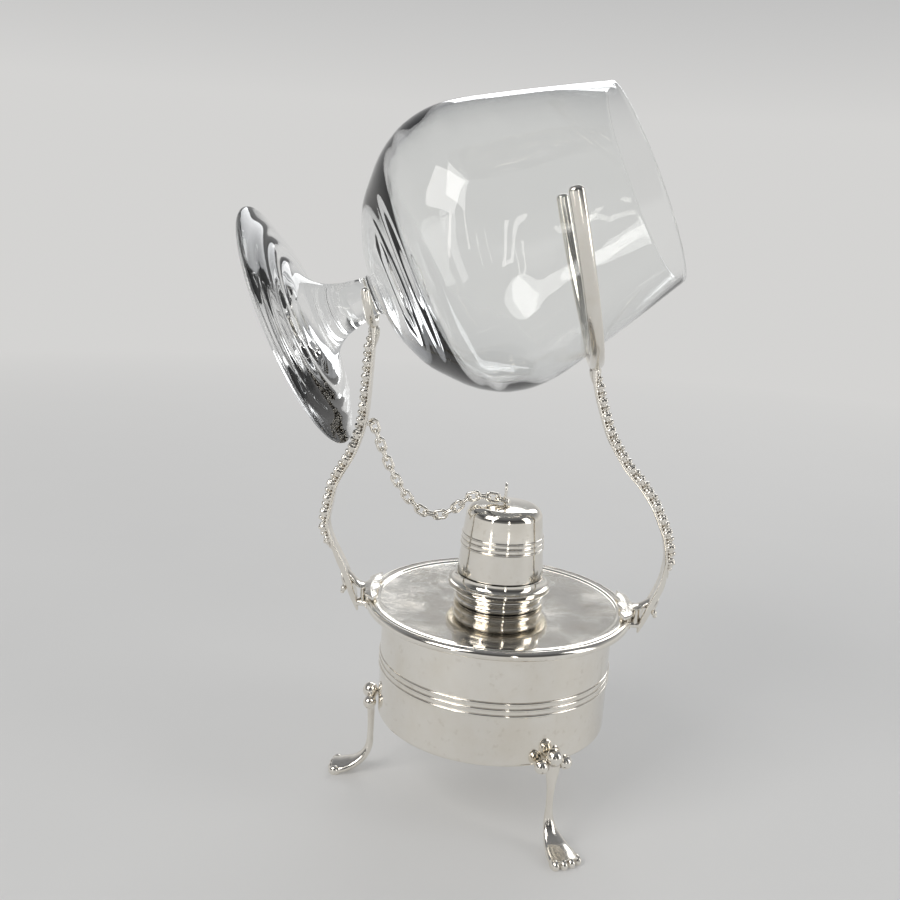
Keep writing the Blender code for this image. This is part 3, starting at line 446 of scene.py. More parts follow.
def make_camera():
    back = Vector((math.sin(VIEW_AZIMUTH) * math.cos(VIEW_ELEVATION),
                   -math.cos(VIEW_AZIMUTH) * math.cos(VIEW_ELEVATION), math.sin(VIEW_ELEVATION)))
    right = Vector((math.cos(VIEW_AZIMUTH), math.sin(VIEW_AZIMUTH), 0))
    up = back.cross(right)
    side = right * math.cos(VIEW_ROLL) + up * math.sin(VIEW_ROLL)
    top = up * math.cos(VIEW_ROLL) - right * math.sin(VIEW_ROLL)
    lens = bpy.data.cameras.new("photo_camera")
    lens.sensor_width = SENSOR
    lens.lens = FOCAL_PIXELS / IMAGE_WIDTH * SENSOR
    lens.clip_start, lens.clip_end = VIEW_CLIP
    camera = add_object("photo_camera", lens)
    turn = Matrix((side, top, back)).transposed().to_4x4()
    camera.matrix_world = Matrix.Translation(VIEW_TARGET + back * VIEW_DISTANCE) @ turn
    bpy.context.scene.camera = camera


def new_material(name):
    mat = bpy.data.materials.new(name)
    mat.use_nodes = True
    tree = mat.node_tree
    return mat, tree, tree.nodes["Principled BSDF"]


def feed(tree, socket, value):
    """Gives a socket another node's output, a colour or a number."""
    if isinstance(value, bpy.types.NodeSocket):
        tree.links.new(value, socket)
    elif socket.type == "RGBA":
        socket.default_value = (*value, 1)
    else:
        socket.default_value = value


def feed_all(tree, made, **values):
    for key, value in values.items():
        feed(tree, made.inputs[key.replace("_", " ").title()], value)


def node(tree, kind, **settings):
    """Adds a node; a setting with the name of an input goes to that input, any other to the node."""
    made = tree.nodes.new(kind)
    for key, value in settings.items():
        label = key.replace("_", " ").title()
        if label in made.inputs:
            feed(tree, made.inputs[label], value)
        else:
            setattr(made, key, value)
    return made


def ramp(tree, source, stops):
    """A colour ramp between (place, grey or colour) stops."""
    made = node(tree, "ShaderNodeValToRGB", fac=source)
    bar = made.color_ramp
    while len(bar.elements) < len(stops):
        bar.elements.new(0.5)
    for element, (place, value) in zip(bar.elements, stops):
        element.position = place
        colour = value if isinstance(value, tuple) else (value,) * 3
        element.color = (*colour, 1)
    return made.outputs["Color"]


def object_places(tree, scale=(1, 1, 1)):
    places = node(tree, "ShaderNodeTexCoord").outputs["Object"]
    return node(tree, "ShaderNodeMapping", vector=places, scale=scale).outputs["Vector"]


def noise(tree, places, scale, detail, roughness):
    made = node(tree, "ShaderNodeTexNoise", vector=places, scale=scale, detail=detail, roughness=roughness)
    return made.outputs["Fac"]


def compute(tree, operation, a, b):
    made = node(tree, "ShaderNodeMath", operation=operation)
    for socket, value in zip(made.inputs, (a, b)):
        feed(tree, socket, value)
    return made.outputs["Value"]


def plus(tree, a, b):
    return compute(tree, "ADD", a, b)


def times(tree, a, b):
    return compute(tree, "MULTIPLY", a, b)


def patches(tree, places, pattern):
    """Noise that comes up from black to white between the pattern's last two values."""
    return ramp(tree, noise(tree, places, *pattern[:3]), tuple(zip(pattern[3:], (0.0, 1.0))))


def mix_colour(tree, share, a, b):
    made = node(tree, "ShaderNodeMix", data_type="RGBA")
    factor = next(s for s in made.inputs if s.type == "VALUE")
    colours = [s for s in made.inputs if s.type == "RGBA"]
    for socket, value in zip((factor, *colours), (share, a, b)):
        feed(tree, socket, value)
    return next(s for s in made.outputs if s.type == "RGBA")


def bump(tree, height, strength, distance, before=None):
    made = node(tree, "ShaderNodeBump", height=height, strength=strength, distance=distance)
    if before is not None:
        feed(tree, made.inputs["Normal"], before)
    return made.outputs["Normal"]


def polished_silver():
    """Mirror-bright plate with clouds of warm tarnish, hairline scratches and finger-dulled patches."""
    mat, tree, shader = new_material("polished_silver_plate")
    places = object_places(tree)
    clouds = times(tree, patches(tree, places, PLATE_CLOUDS), CLOUD_SHARE)
    spots = times(tree, patches(tree, places, PLATE_SPOTS), SPOT_SHARE)
    bend = node(tree, "ShaderNodeNewGeometry").outputs["Pointiness"]
    groove = times(tree, ramp(tree, bend, GROOVE_STOPS), GROOVE_SHARE)
    colour = mix_colour(tree, spots, mix_colour(tree, clouds, SILVER, PLATE_WARM), PLATE_SPOT)
    dull = plus(tree, times(tree, noise(tree, places, *PLATE_FINE), FINE_ROUGH),
                times(tree, patches(tree, places, PLATE_SMEARS), SMEAR_ROUGH))
    scratches = plus(tree, patches(tree, object_places(tree, HAIR_SQUEEZE), PLATE_HAIRS),
                     patches(tree, object_places(tree, TOP_HAIR_SQUEEZE), PLATE_TOP_HAIRS))
    dents = bump(tree, noise(tree, places, *PLATE_DENTS), *DENT_BUMP)
    feed_all(tree, shader, base_color=mix_colour(tree, groove, colour, GROOVE_DARK), metallic=1,
             roughness=plus(tree, dull, PLATE_ROUGH), normal=bump(tree, scratches, *SCRATCH_BUMP, dents))
    return mat


def cast_silver():
    """Cast and plated metal: bright on the high relief, brown-black where polish never reaches."""
    mat, tree, shader = new_material("cast_silver_relief")
    places = object_places(tree)
    depth = node(tree, "ShaderNodeAttribute", attribute_name="hollow").outputs["Fac"]
    grain = noise(tree, places, *CAST_GRAIN)
    edge = plus(tree, depth, times(tree, compute(tree, "SUBTRACT", grain, 0.5), GRAIN_SHARE))
    dark = ramp(tree, edge, HOLLOW_STOPS)
    clouds = times(tree, patches(tree, places, CAST_CLOUDS), CLOUD_SHARE)
    bright = mix_colour(tree, clouds, SILVER, CAST_WARM)
    rough = plus(tree, times(tree, dark, HOLLOW_ROUGH), times(tree, grain, GRAIN_ROUGH))
    skin = bump(tree, grain, *GRAIN_BUMP)
    feed_all(tree, shader, base_color=mix_colour(tree, times(tree, dark, HOLLOW_SHARE), bright, HOLLOW_DARK),
             metallic=1, roughness=plus(tree, rough, CAST_ROUGH),
             normal=bump(tree, patches(tree, places, CAST_PITS), *PIT_BUMP, skin))
    return mat


def blown_glass():
    """Clear glass with the least of smears and the faint waves of its making."""
    mat, tree, shader = new_material("clear_blown_glass")
    places = object_places(tree)
    shader.inputs["IOR"].default_value = GLASS_INDEX
    feed_all(tree, shader, base_color=GLASS_CLEAR, transmission_weight=1,
             roughness=times(tree, patches(tree, places, GLASS_SMEARS), GLASS_ROUGH),
             normal=bump(tree, noise(tree, places, *GLASS_WAVES), *WAVE_BUMP))
    return mat


def cotton():
    """Undyed cotton cord, scorched at its top."""
    mat, tree, shader = new_material("scorched_cotton")
    fibres = noise(tree, object_places(tree, FIBRE_SQUEEZE), *COTTON_FIBRES)
    split = node(tree, "ShaderNodeSeparateXYZ", vector=object_places(tree))
    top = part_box("wick")[1].z
    scorch = node(tree, "ShaderNodeMapRange", value=split.outputs["Z"], from_min=top - SCORCH_START,
                  from_max=top - SCORCH_END).outputs["Result"]
    burnt = times(tree, scorch, plus(tree, times(tree, fibres, FIBRE_SCORCH), LEAST_SCORCH))
    pale = mix_colour(tree, fibres, COTTON_SHADE, COTTON_PALE)
    feed_all(tree, shader, base_color=mix_colour(tree, burnt, pale, SCORCHED), roughness=COTTON_ROUGH,
             normal=bump(tree, fibres, *COTTON_BUMP))
    return mat


def seen_directly(tree):
    """1 for what the camera sees, straight or by way of metal and glass, and 0 for what only gives light."""
    path = node(tree, "ShaderNodeLightPath").outputs
    seen = compute(tree, "MAXIMUM", path["Is Camera Ray"], path["Is Glossy Ray"])
    return compute(tree, "MAXIMUM", seen, path["Is Transmission Ray"])


def mix_shaders(tree, share, first, second, out):
    mix = node(tree, "ShaderNodeMixShader")
    for socket, value in zip(mix.inputs, (share, first.outputs[0], second.outputs[0])):
        feed(tree, socket, value)
    feed(tree, out.inputs["Surface"], mix.outputs["Shader"])


def make_world():
    """A pale backdrop that darkens upwards and towards the camera's side, as a studio does round its set."""
    world = bpy.data.worlds.new("studio")
    bpy.context.scene.world = world
    world.use_nodes = True
    tree = world.node_tree
    tree.nodes.clear()
    places = node(tree, "ShaderNodeTexCoord").outputs["Generated"]
    split = node(tree, "ShaderNodeSeparateXYZ", vector=places).outputs
    turn = ramp(tree, plus(tree, times(tree, split["Y"], 0.5), 0.5), SIDE_STOPS)
    shades = mix_colour(tree, turn, ramp(tree, split["Z"], FRONT_STOPS), ramp(tree, split["Z"], BACK_STOPS))
    seen = node(tree, "ShaderNodeBackground", color=shades, strength=1.0)
    soft = node(tree, "ShaderNodeBackground", color=SOFT_TONE, strength=SOFT_STRENGTH)
    mix_shaders(tree, seen_directly(tree), soft, seen, node(tree, "ShaderNodeOutputWorld"))
    bpy.context.scene.view_settings.view_transform = "Standard"


def make_lamp(name, place, width, height, power, colour):
    lamp = bpy.data.lights.new(name, "AREA")
    lamp.shape = "RECTANGLE"
    lamp.size = width
    lamp.size_y = height
    lamp.energy = power
    lamp.color = colour
    obj = add_object(name, lamp)
    obj.visible_camera = False
    place = Vector(place)
    turn = (place - LAMP_AIM).to_track_quat("Z", "Y").to_matrix().to_4x4()
    obj.matrix_world = Matrix.Translation(place) @ turn


def make_stage():
    bm = bmesh.new()
    bmesh.ops.create_circle(bm, cap_ends=True, segments=FLOOR_STEPS, radius=FLOOR_RADIUS)
    mesh = bpy.data.meshes.new("floor")
    bm.to_mesh(mesh)
    bm.free()
    floor = add_object("floor", mesh)
    floor.location.z = GROUND
    mat, tree, shader = new_material("pale_floor")
    places = object_places(tree)
    tone = mix_colour(tree, noise(tree, places, *FLOOR_CLOUDS), *FLOOR_TONES)
    feed_all(tree, shader, base_color=tone, roughness=FLOOR_ROUGH)
    far = node(tree, "ShaderNodeVectorMath", operation="LENGTH", vector=places).outputs["Value"]
    fade = ramp(tree, times(tree, far, 1 / FLOOR_REACH), FLOOR_STOPS)
    glow = node(tree, "ShaderNodeEmission", color=PALE, strength=1.0)
    share = times(tree, fade, seen_directly(tree))
    mix_shaders(tree, share, shader, glow, tree.nodes["Material Output"])
    mesh.materials.append(mat)
    for lamp in LAMPS:
        make_lamp(*lamp)


# Shape helpers

def place_piece(name, mesh, mat, nodes, body):
    obj = add_object(name, mesh)
    mesh.materials.clear()
    mesh.materials.append(mat)
    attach(obj, body)
    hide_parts(*nodes)
    return obj


def clamp(value):
    return min(1, max(0, value))


def circle(count, phase=0):
    """The cosine and sine of even steps round a circle."""
    angles = [FULL_TURN * (k + phase) / count for k in range(count)]
    return [(math.cos(a), math.sin(a)) for a in angles]


def quarter(count):
    return [math.radians(90) * i / count for i in range(count + 1)]


def arc(reach, height, radius, start, end, count):
    turn = math.radians(end - start) / count
    angles = [math.radians(start) + turn * i for i in range(count + 1)]
    return [(reach + radius * math.cos(a), height + radius * math.sin(a)) for a in angles]


def softened(profile, radius, count=4):
    """Rounds each corner of a profile a little, as polishing does."""
    points = [Vector((r, h)) for r, h in profile]
    out = [points[0]]
    for before, here, after in zip(points, points[1:], points[2:]):
        back = before - here
        on = after - here
        if min(back.length, on.length) < TINY or abs(back.angle(on) - math.pi) < FLAT_ANGLE:
            out.append(here)
            continue
        cut = min(radius, back.length * CUT_SHARE, on.length * CUT_SHARE)
        a = here + back.normalized() * cut
        b = here + on.normalized() * cut
        for i in range(count + 1):
            t = i / count
            out.append(a.lerp(here, t).lerp(here.lerp(b, t), t))
    out.append(points[-1])
    return [(p.x, p.y) for p in out]


def reeds(radius_at, middle, pitch, bead):
    points = []
    for i in range(REED_COUNT):
        height = middle + pitch * (REED_COUNT - 1 - 2 * i) / 2
        points += arc(radius_at(height), height, bead, 90, -90, 10)
    return points


def mesh_of(name, bm):
    """A smooth mesh of worked-out faces, with their normals outwards."""
    bmesh.ops.recalc_face_normals(bm, faces=bm.faces)
    mesh = bpy.data.meshes.new(name)
    bm.to_mesh(mesh)
    bm.free()
    mesh.shade_smooth()
    return mesh


def turned_mesh(name, profile, sharp=math.radians(40)):
    """A profile turned about Z, given down its outer side; closed where it stays off the axis."""
    closed = min(r for r, h in profile) > TINY
    steps = FACETS.get(name, ROUND_STEPS)
    bm = bmesh.new()
    rows = []
    for reach, height in profile:
        if reach < TINY:
            rows.append([bm.verts.new((0, 0, height))] * steps)
        else:
            rows.append([bm.verts.new((reach * c, reach * s, height)) for c, s in circle(steps)])
    pairs = list(zip(rows, rows[1:]))
    if closed:
        pairs.append((rows[-1], rows[0]))
    for top, low in pairs:
        for i in range(steps):
            j = (i + 1) % steps
            ring = []
            for v in (top[i], low[i], low[j], top[j]):
                if v not in ring:
                    ring.append(v)
            if len(ring) > 2:
                bm.faces.new(ring)
    mesh = mesh_of(name + "_look", bm)
    mesh.set_sharp_from_angle(angle=sharp)
    return mesh


def turned_piece(name, profile, mat, body="stand"):
    mesh = turned_mesh(name, softened(profile, POLISH_ROUNDS[name]))
    place_piece(name + "_look", mesh, mat, [name], body)


def loft_into(bm, rings):
    rows = [[bm.verts.new(point) for point in ring] for ring in rings]
    count = len(rows[0])
    for low, high in zip(rows, rows[1:]):
        for i in range(count):
            j = (i + 1) % count
            bm.faces.new((low[i], low[j], high[j], high[i]))
    bm.faces.new(list(reversed(rows[0])))
    bm.faces.new(rows[-1])


def tube_into(bm, points, radius, cyclic, sides=WIRE_SIDES):
    """A round wire through points; its ends are domed where it isn't a ring."""
    points = [Vector(p) for p in points]
    last = len(points) - 1
    normal = None
    frames = []
    for i, point in enumerate(points):
        if cyclic:
            tangent = points[(i + 1) % (last + 1)] - points[i - 1]
        else:
            tangent = points[min(i + 1, last)] - points[max(i - 1, 0)]
        tangent.normalize()
        if normal is None:
            normal = tangent.orthogonal().normalized()
        normal = (normal - tangent * normal.dot(tangent)).normalized()
        frames.append((point, tangent, normal.copy(), tangent.cross(normal)))

    def ring(centre, normal, side, size):
        return [centre + (normal * c + side * s) * size for c, s in circle(sides)]

    if cyclic:
        rows = [[bm.verts.new(p) for p in ring(c, n, s, radius)] for c, t, n, s in frames]
        for low, high in zip(rows, rows[1:] + rows[:1]):
            offset = 0
            if low is rows[-1]:
                offset = min(range(sides), key=lambda k: (high[k].co - low[0].co).length)
            for i in range(sides):
                j = (i + 1) % sides
                bm.faces.new((low[i], low[j], high[(j + offset) % sides], high[(i + offset) % sides]))
        return
    domes = []
    for (centre, tangent, normal, side), sign in ((frames[0], -1), (frames[-1], 1)):
        domes.append([ring(centre + tangent * (sign * radius * math.sin(a)), normal, side,
                           radius * math.cos(a)) for a in DOME_ANGLES])
    rows = domes[0][::-1] + [ring(c, n, s, radius) for c, t, n, s in frames] + domes[1]
    loft_into(bm, rows)


def ellipsoid_into(bm, centre, sizes, turn=None, segments=24, rings=14):
    """A closed ball, stretched to its three half sizes and turned."""
    place = Matrix.Translation(centre) @ (turn or Matrix.Identity(4)) @ Matrix.Diagonal((*sizes, 1))
    rows = []
    for level in range(1, rings):
        tilt = math.pi * level / rings
        rows.append([bm.verts.new(place @ Vector((math.sin(tilt) * c, math.sin(tilt) * s, math.cos(tilt))))
                     for c, s in circle(segments)])
    top = bm.verts.new(place @ Vector((0, 0, 1)))
    low = bm.verts.new(place @ Vector((0, 0, -1)))
    for i in range(segments):
        j = (i + 1) % segments
        bm.faces.new((top, rows[0][i], rows[0][j]))
        bm.faces.new((low, rows[-1][j], rows[-1][i]))
        for upper, under in zip(rows, rows[1:]):
            bm.faces.new((upper[i], under[i], under[j], upper[j]))


def spline_path(points, pieces):
    path = []
    last = len(points) - 1
    for i in range(last):
        before = points[max(i - 1, 0)]
        start = points[i]
        end = points[i + 1]
        after = points[min(i + 2, last)]
        for k in range(pieces):
            t = k / pieces
            leave = (end - before) / 2
            arrive = (after - start) / 2
            path.append(start.lerp(end, 3 * t ** 2 - 2 * t ** 3) + leave * (t * (1 - t) ** 2)
                        + arrive * (t ** 2 * (t - 1)))
    path.append(points[-1])
    return path


def even_path(path, count):
    runs = [0.0]
    for a, b in zip(path, path[1:]):
        runs.append(runs[-1] + (b - a).length)
    even = []
    i = 0
    for k in range(count + 1):
        want = runs[-1] * k / count
        while i < len(path) - 2 and runs[i + 1] < want:
            i += 1
        even.append(path[i].lerp(path[i + 1], (want - runs[i]) / max(runs[i + 1] - runs[i], TINY)))
    return even, runs[-1]


def tangents(path):
    last = len(path) - 1
    return [(path[min(i + 1, last)] - path[max(i - 1, 0)]).normalized() for i in range(last + 1)]


def point_at_height(path, height):
    for a, b in zip(path, path[1:]):
        if a.z <= height <= b.z:
            return a.lerp(b, (height - a.z) / max(b.z - a.z, TINY))
    return path[-1]


def melted(name, bm, voxel, relax, ground=None):
    """One closed, relaxed skin over joined shapes; each point holds how deep it lies in the relief."""
    rough = mesh_of(name + "_rough", bm)
    holder = add_object(name + "_rough", rough)
    skin = holder.modifiers.new("skin", "REMESH")
    skin.mode = "VOXEL"
    skin.voxel_size = voxel
    skin.adaptivity = 0
    bpy.context.view_layer.update()
    graph = bpy.context.evaluated_depsgraph_get()
    mesh = bpy.data.meshes.new_from_object(holder.evaluated_get(graph))
    bpy.data.objects.remove(holder, do_unlink=True)
    bpy.data.meshes.remove(rough)
    mesh.name = name
    count = len(mesh.vertices)
    co = np.empty(count * 3)
    mesh.vertices.foreach_get("co", co)
    co = co.reshape(-1, 3)
    ends = np.empty(len(mesh.edges) * 2, int)
    mesh.edges.foreach_get("vertices", ends)
    a, b = ends.reshape(-1, 2).T
    degree = np.bincount(np.concatenate([a, b]), minlength=count)[:, None]

    def spread(values):
        total = np.zeros_like(values)
        np.add.at(total, a, values[b])
        np.add.at(total, b, values[a])
        return total / degree

    for step in range(relax):
        co = co + RELAX_IN * (spread(co) - co)
        co = co - RELAX_OUT * (spread(co) - co)
    if ground is not None:
        co[:, 2] = np.maximum(co[:, 2], ground)
    mesh.vertices.foreach_set("co", co.ravel())
    mesh.update()
    normals = np.empty(count * 3)
    mesh.vertices.foreach_get("normal", normals)
    normals = normals.reshape(-1, 3)
    wide = co
    for step in range(HOLLOW_REACH):
        wide = spread(wide)
    depth = ((wide - co) * normals).sum(1) / voxel
    for step in range(HOLLOW_BLUR):
        depth = spread(depth[:, None])[:, 0]
    value = np.clip(0.5 + depth * HOLLOW_GAIN, 0, 1)
    layer = mesh.attributes.new("hollow", "FLOAT", "POINT")
    layer.data.foreach_set("value", value.astype(np.float32))
    mesh.shade_smooth()
    return mesh


# The turned pieces

def dress_drum(mat):
    low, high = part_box("reservoir_drum")
    inner = DRUM_RADIUS - DRUM_WALL
    profile = [(0, DRUM_FLOOR), (inner - DRUM_CORNER, DRUM_FLOOR)]
    profile += arc(inner - DRUM_CORNER, DRUM_FLOOR + DRUM_CORNER, DRUM_CORNER, -90, 0, 6)
    profile += [(inner, high.z), (DRUM_RADIUS, high.z)]
    profile += reeds(lambda height: DRUM_RADIUS, DRUM_REED_HEIGHT, DRUM_REED_PITCH, DRUM_REED_RADIUS)
    profile += arc(DRUM_RADIUS - DRUM_CORNER, DRUM_CORNER, DRUM_CORNER, 0, -90, 12)
    profile.append((0, 0))
    turned_piece("reservoir_drum", profile, mat)


def dress_deck(mat):
    low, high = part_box("deck_plate")
    top = high.z - DECK_BORDER_RISE
    hole = NECK_RADIUS - NECK_WALL
    border_out = DECK_RADIUS - RIM_ROLL_RADIUS
    border_in = border_out - DECK_BORDER_WIDTH
    middle = high.z - RIM_ROLL_RADIUS
    seat = DRUM_RADIUS + GAP
    profile = [(hole, top), (border_in, top), (border_in + DECK_BORDER_SLOPE, high.z),
               (border_out - DECK_BORDER_SLOPE, high.z), (border_out - DECK_BORDER_SLOPE / 2, top)]
    profile += arc(border_out, middle, RIM_ROLL_RADIUS, 90, -90, 24)
    profile += [(seat, middle - RIM_ROLL_RADIUS), (seat, top - DECK_SHEET), (hole, top - DECK_SHEET)]
    turned_piece("deck_plate", profile, mat)


def dress_neck(mat):
    low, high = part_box("neck_collar")
    bore = NECK_RADIUS - NECK_WALL
    profile = [(bore, high.z), (NECK_RADIUS, high.z)]
    for bead in (low.z + NECK_BEAD_FOOT + NECK_BEAD_PITCH, low.z + NECK_BEAD_FOOT):
        profile += arc(NECK_RADIUS, bead, NECK_BEAD_RADIUS, 90, -90, 14)
    profile += [(NECK_RADIUS, low.z), (bore, low.z)]
    turned_piece("neck_collar", profile, mat)


def dress_burner(mat):
    tube_low, tube_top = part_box("burner_flange")
    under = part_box("neck_collar")[1].z + GAP
    seat_height = under + FLANGE_RISE
    seat_radius = CAP_RADIUS + SEAT_MARGIN
    skirt = NECK_RADIUS - NECK_WALL - GAP
    bore = WICK_RADIUS + GAP
    tube = bore + TUBE_WALL
    edge = under + FLANGE_CHAMFER
    lip_top = edge + FLANGE_LIP
    flare = FLANGE_RADIUS - FLANGE_CHAMFER - seat_radius
    ceiling = seat_height - FLANGE_THICK
    profile = [(bore, tube_top.z), (tube, tube_top.z), (tube, seat_height + TUBE_FOOT)]
    profile += [(tube + TUBE_FOOT * (1 - math.cos(a)), seat_height + TUBE_FOOT * (1 - math.sin(a)))
                for a in quarter(6)[1:]]
    profile += [(seat_radius + flare * (1 - math.cos(a)),
                 seat_height - (seat_height - lip_top) * math.sin(a)) for a in quarter(12)]
    profile += [(FLANGE_RADIUS, lip_top), (FLANGE_RADIUS, edge), (FLANGE_RADIUS - FLANGE_CHAMFER, under),
                (skirt, under), (skirt, under - SKIRT_DEPTH), (skirt - SKIRT_WALL, under - SKIRT_DEPTH),
                (skirt - SKIRT_WALL, ceiling), (tube, ceiling), (tube, tube_low.z), (bore, tube_low.z)]
    turned_piece("burner_flange", profile, mat)


def dress_wick(mat):
    """A braided cord: strands cross in two directions, and the top is frayed."""
    low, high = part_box("wick")
    fray = WICK_RADIUS * WICK_FRAY_SHARE
    rows = []
    for level in range(WICK_LEVELS + 1):
        height = low.z + (high.z - low.z) * level / WICK_LEVELS
        turn = FULL_TURN * height / WICK_PITCH
        drop = max(0.0, height - (high.z - fray)) / fray
        top = math.sqrt(max(WICK_LEAST_SHARE, 1 - drop ** 2 * WICK_DROP_SHARE))
        ring = []
        for k in range(WICK_STEPS):
            angle = FULL_TURN * k / WICK_STEPS
            left = abs(math.cos((angle * WICK_STRANDS + turn) / 2))
            right = abs(math.cos((angle * WICK_STRANDS - turn) / 2))
            strand = 1 - WICK_GROOVE_SHARE + WICK_GROOVE_SHARE * max(left, right) ** 0.5
            radius = WICK_RADIUS * strand * top
            ring.append(Vector((radius * math.cos(angle), radius * math.sin(angle), height)))
        rows.append(ring)
    bm = bmesh.new()
    loft_into(bm, rows)
    place_piece("wick_look", mesh_of("wick_look", bm), mat, ["wick"], "wick")


def dress_cap(mat):
    low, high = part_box("snuffer_cap")
    height = high.z - low.z
    shoulder = height - CAP_DOME - CAP_ROUND
    dome_reach = CAP_SHOULDER_RADIUS - CAP_ROUND
    inner_round = CAP_ROUND - CAP_WALL

    def side(at):
        return CAP_RADIUS + (CAP_SHOULDER_RADIUS - CAP_RADIUS) * at / (height - CAP_ROUND)

    profile = [(dome_reach * i / 8, height - CAP_DOME * (i / 8) ** 2) for i in range(8)]
    profile += arc(dome_reach, shoulder, CAP_ROUND, 88, 0, 20)
    profile += reeds(side, CAP_REED_HEIGHT, CAP_REED_PITCH, CAP_REED_RADIUS)
    profile += [(CAP_RADIUS, 0), (CAP_RADIUS - CAP_WALL, 0)]
    profile += arc(dome_reach, shoulder, inner_round, 0, 90, 10)
    profile.append((0, shoulder + inner_round))
    turned_piece("snuffer_cap", [(r, h + low.z) for r, h in profile], mat, "cap")


# The wires

def arch_path(half_width, height, across, up):
    rise = height - half_width
    points = [across * -half_width, across * -half_width + up * (rise / 2)]
    for i in range(17):
        a = math.radians(180) * (1 - i / 16)
        points.append(across * (half_width * math.cos(a)) + up * (rise + half_width * math.sin(a)))
    points += [across * half_width + up * (rise / 2), across * half_width]
    return points


def dress_arch(name, foot, height, up, mat, body):
    """A wire arch with a bead of solder round each foot."""
    half = (LOOP_WIDTH - LOOP_WIRE) / 2
    bm = bmesh.new()
    points = [foot + p for p in arch_path(half, height - LOOP_WIRE / 2, ACROSS, up)]
    for end in (0, -1):
        points[end] = points[end] + up * (LOOP_WIRE * ARCH_LIFT_SHARE)
    tube_into(bm, points, LOOP_WIRE / 2, False)
    side = up.cross(ACROSS)
    for sign in (-1, 1):
        rings = []
        for share, size in SOLDER_SHARES:
            centre = foot + ACROSS * (half * sign) + up * (LOOP_WIRE * share)
            rings.append([centre + (ACROSS * c + side * s) * (LOOP_WIRE * size) for c, s in circle(24)])
        loft_into(bm, rings)
    mesh = melted(name + "_look", bm, ARCH_VOXEL, 4)
    place_piece(name + "_look", mesh, mat, [name], body)


def link_mesh():
    """An oval wire link, flat in its own XY plane, with a faint seam of solder on one side."""
    radius = (LINK_WIDTH - LOOP_WIRE) / 2
    straight = (LINK_LENGTH - LINK_WIDTH) / 2
    points = []
    for middle, start in ((straight, -90), (-straight, 90)):
        points += [(x, y, 0) for x, y in arc(middle, 0, radius, start, start + 180, 16)]
    bm = bmesh.new()
    tube_into(bm, points, LOOP_WIRE / 2, True, 16)
    for v in bm.verts:
        near = max(0.0, 1 - abs(v.co.x - straight * SEAM_PLACE_SHARE) / (LOOP_WIRE * SEAM_REACH_SHARE))
        if v.co.y > radius * SEAM_SIDE_SHARE:
            middle = Vector((v.co.x, radius, 0))
            v.co = middle + (v.co - middle) * (1 + SEAM_SWELL_SHARE * near)
    return mesh_of("chain_link_look", bm)


def dress_chain(mat):
    """Each link lies where its solid does: along its long axis, flat across its short one."""
    names = sorted(n for n in frame["nodes"] if n.startswith("chain_link_"))
    body_of = {n: body for body, members in frame["record"]["behaviour"]["bodies"].items() for n in members}
    shape = link_mesh()
    for name in names:
        co = np.array([v.co for v in frame["nodes"][name].data.vertices])
        middle = co.mean(0)
        spread = np.linalg.eigh(np.cov((co - middle).T))[1]
        along = Vector(spread[:, 2])
        normal = Vector(spread[:, 0])
        aside = normal.cross(along)
        turn = Matrix((along, aside, normal)).transposed().to_4x4()
        reach = (co - middle) @ np.array((along, aside, normal)).T
        offset = (reach.min(0) + reach.max(0)) / 2
        spot = Vector(middle) + along * offset[0] + aside * offset[1] + normal * offset[2]
        mesh = shape.copy()
        mesh.transform(Matrix.Translation(spot) @ turn)
        place_piece(name + "_look", mesh, mat, [name], body_of[name])


# The glass

def bowl_outline():
    bowl_height = GLASS_LENGTH - STEM_TOP
    return [(BOWL_RADIUS * radius, STEM_TOP + bowl_height * height)
            for height, radius in reversed(BOWL_OUTER_SHARES)]


def cone_outline():
    spread = GLASS_FOOT_RADIUS - STEM_RADIUS
    return [(STEM_RADIUS, STEM_TOP)] + [(STEM_RADIUS + spread * radius, STEM_TOP * height)
                                        for height, radius in reversed(FOOT_CONE_SHARES)]


def outer_profile():
    points = [(RIM_RADIUS, GLASS_LENGTH)] + bowl_outline() + cone_outline()
    return points + [(GLASS_FOOT_RADIUS, GLASS_FOOT_EDGE), (GLASS_FOOT_RADIUS, GLASS_FOOT_EDGE / 4)]


def glass_radius(along):
    points = outer_profile()
    for (wide, high), (slim, low) in zip(points, points[1:]):
        if low <= along <= high:
            return slim + (wide - slim) * (along - low) / max(high - low, TINY)
    return 0.0


def curve_through(points, pieces=10):
    return [(p.x, p.y) for p in spline_path([Vector((r, h, 0)) for r, h in points], pieces)]


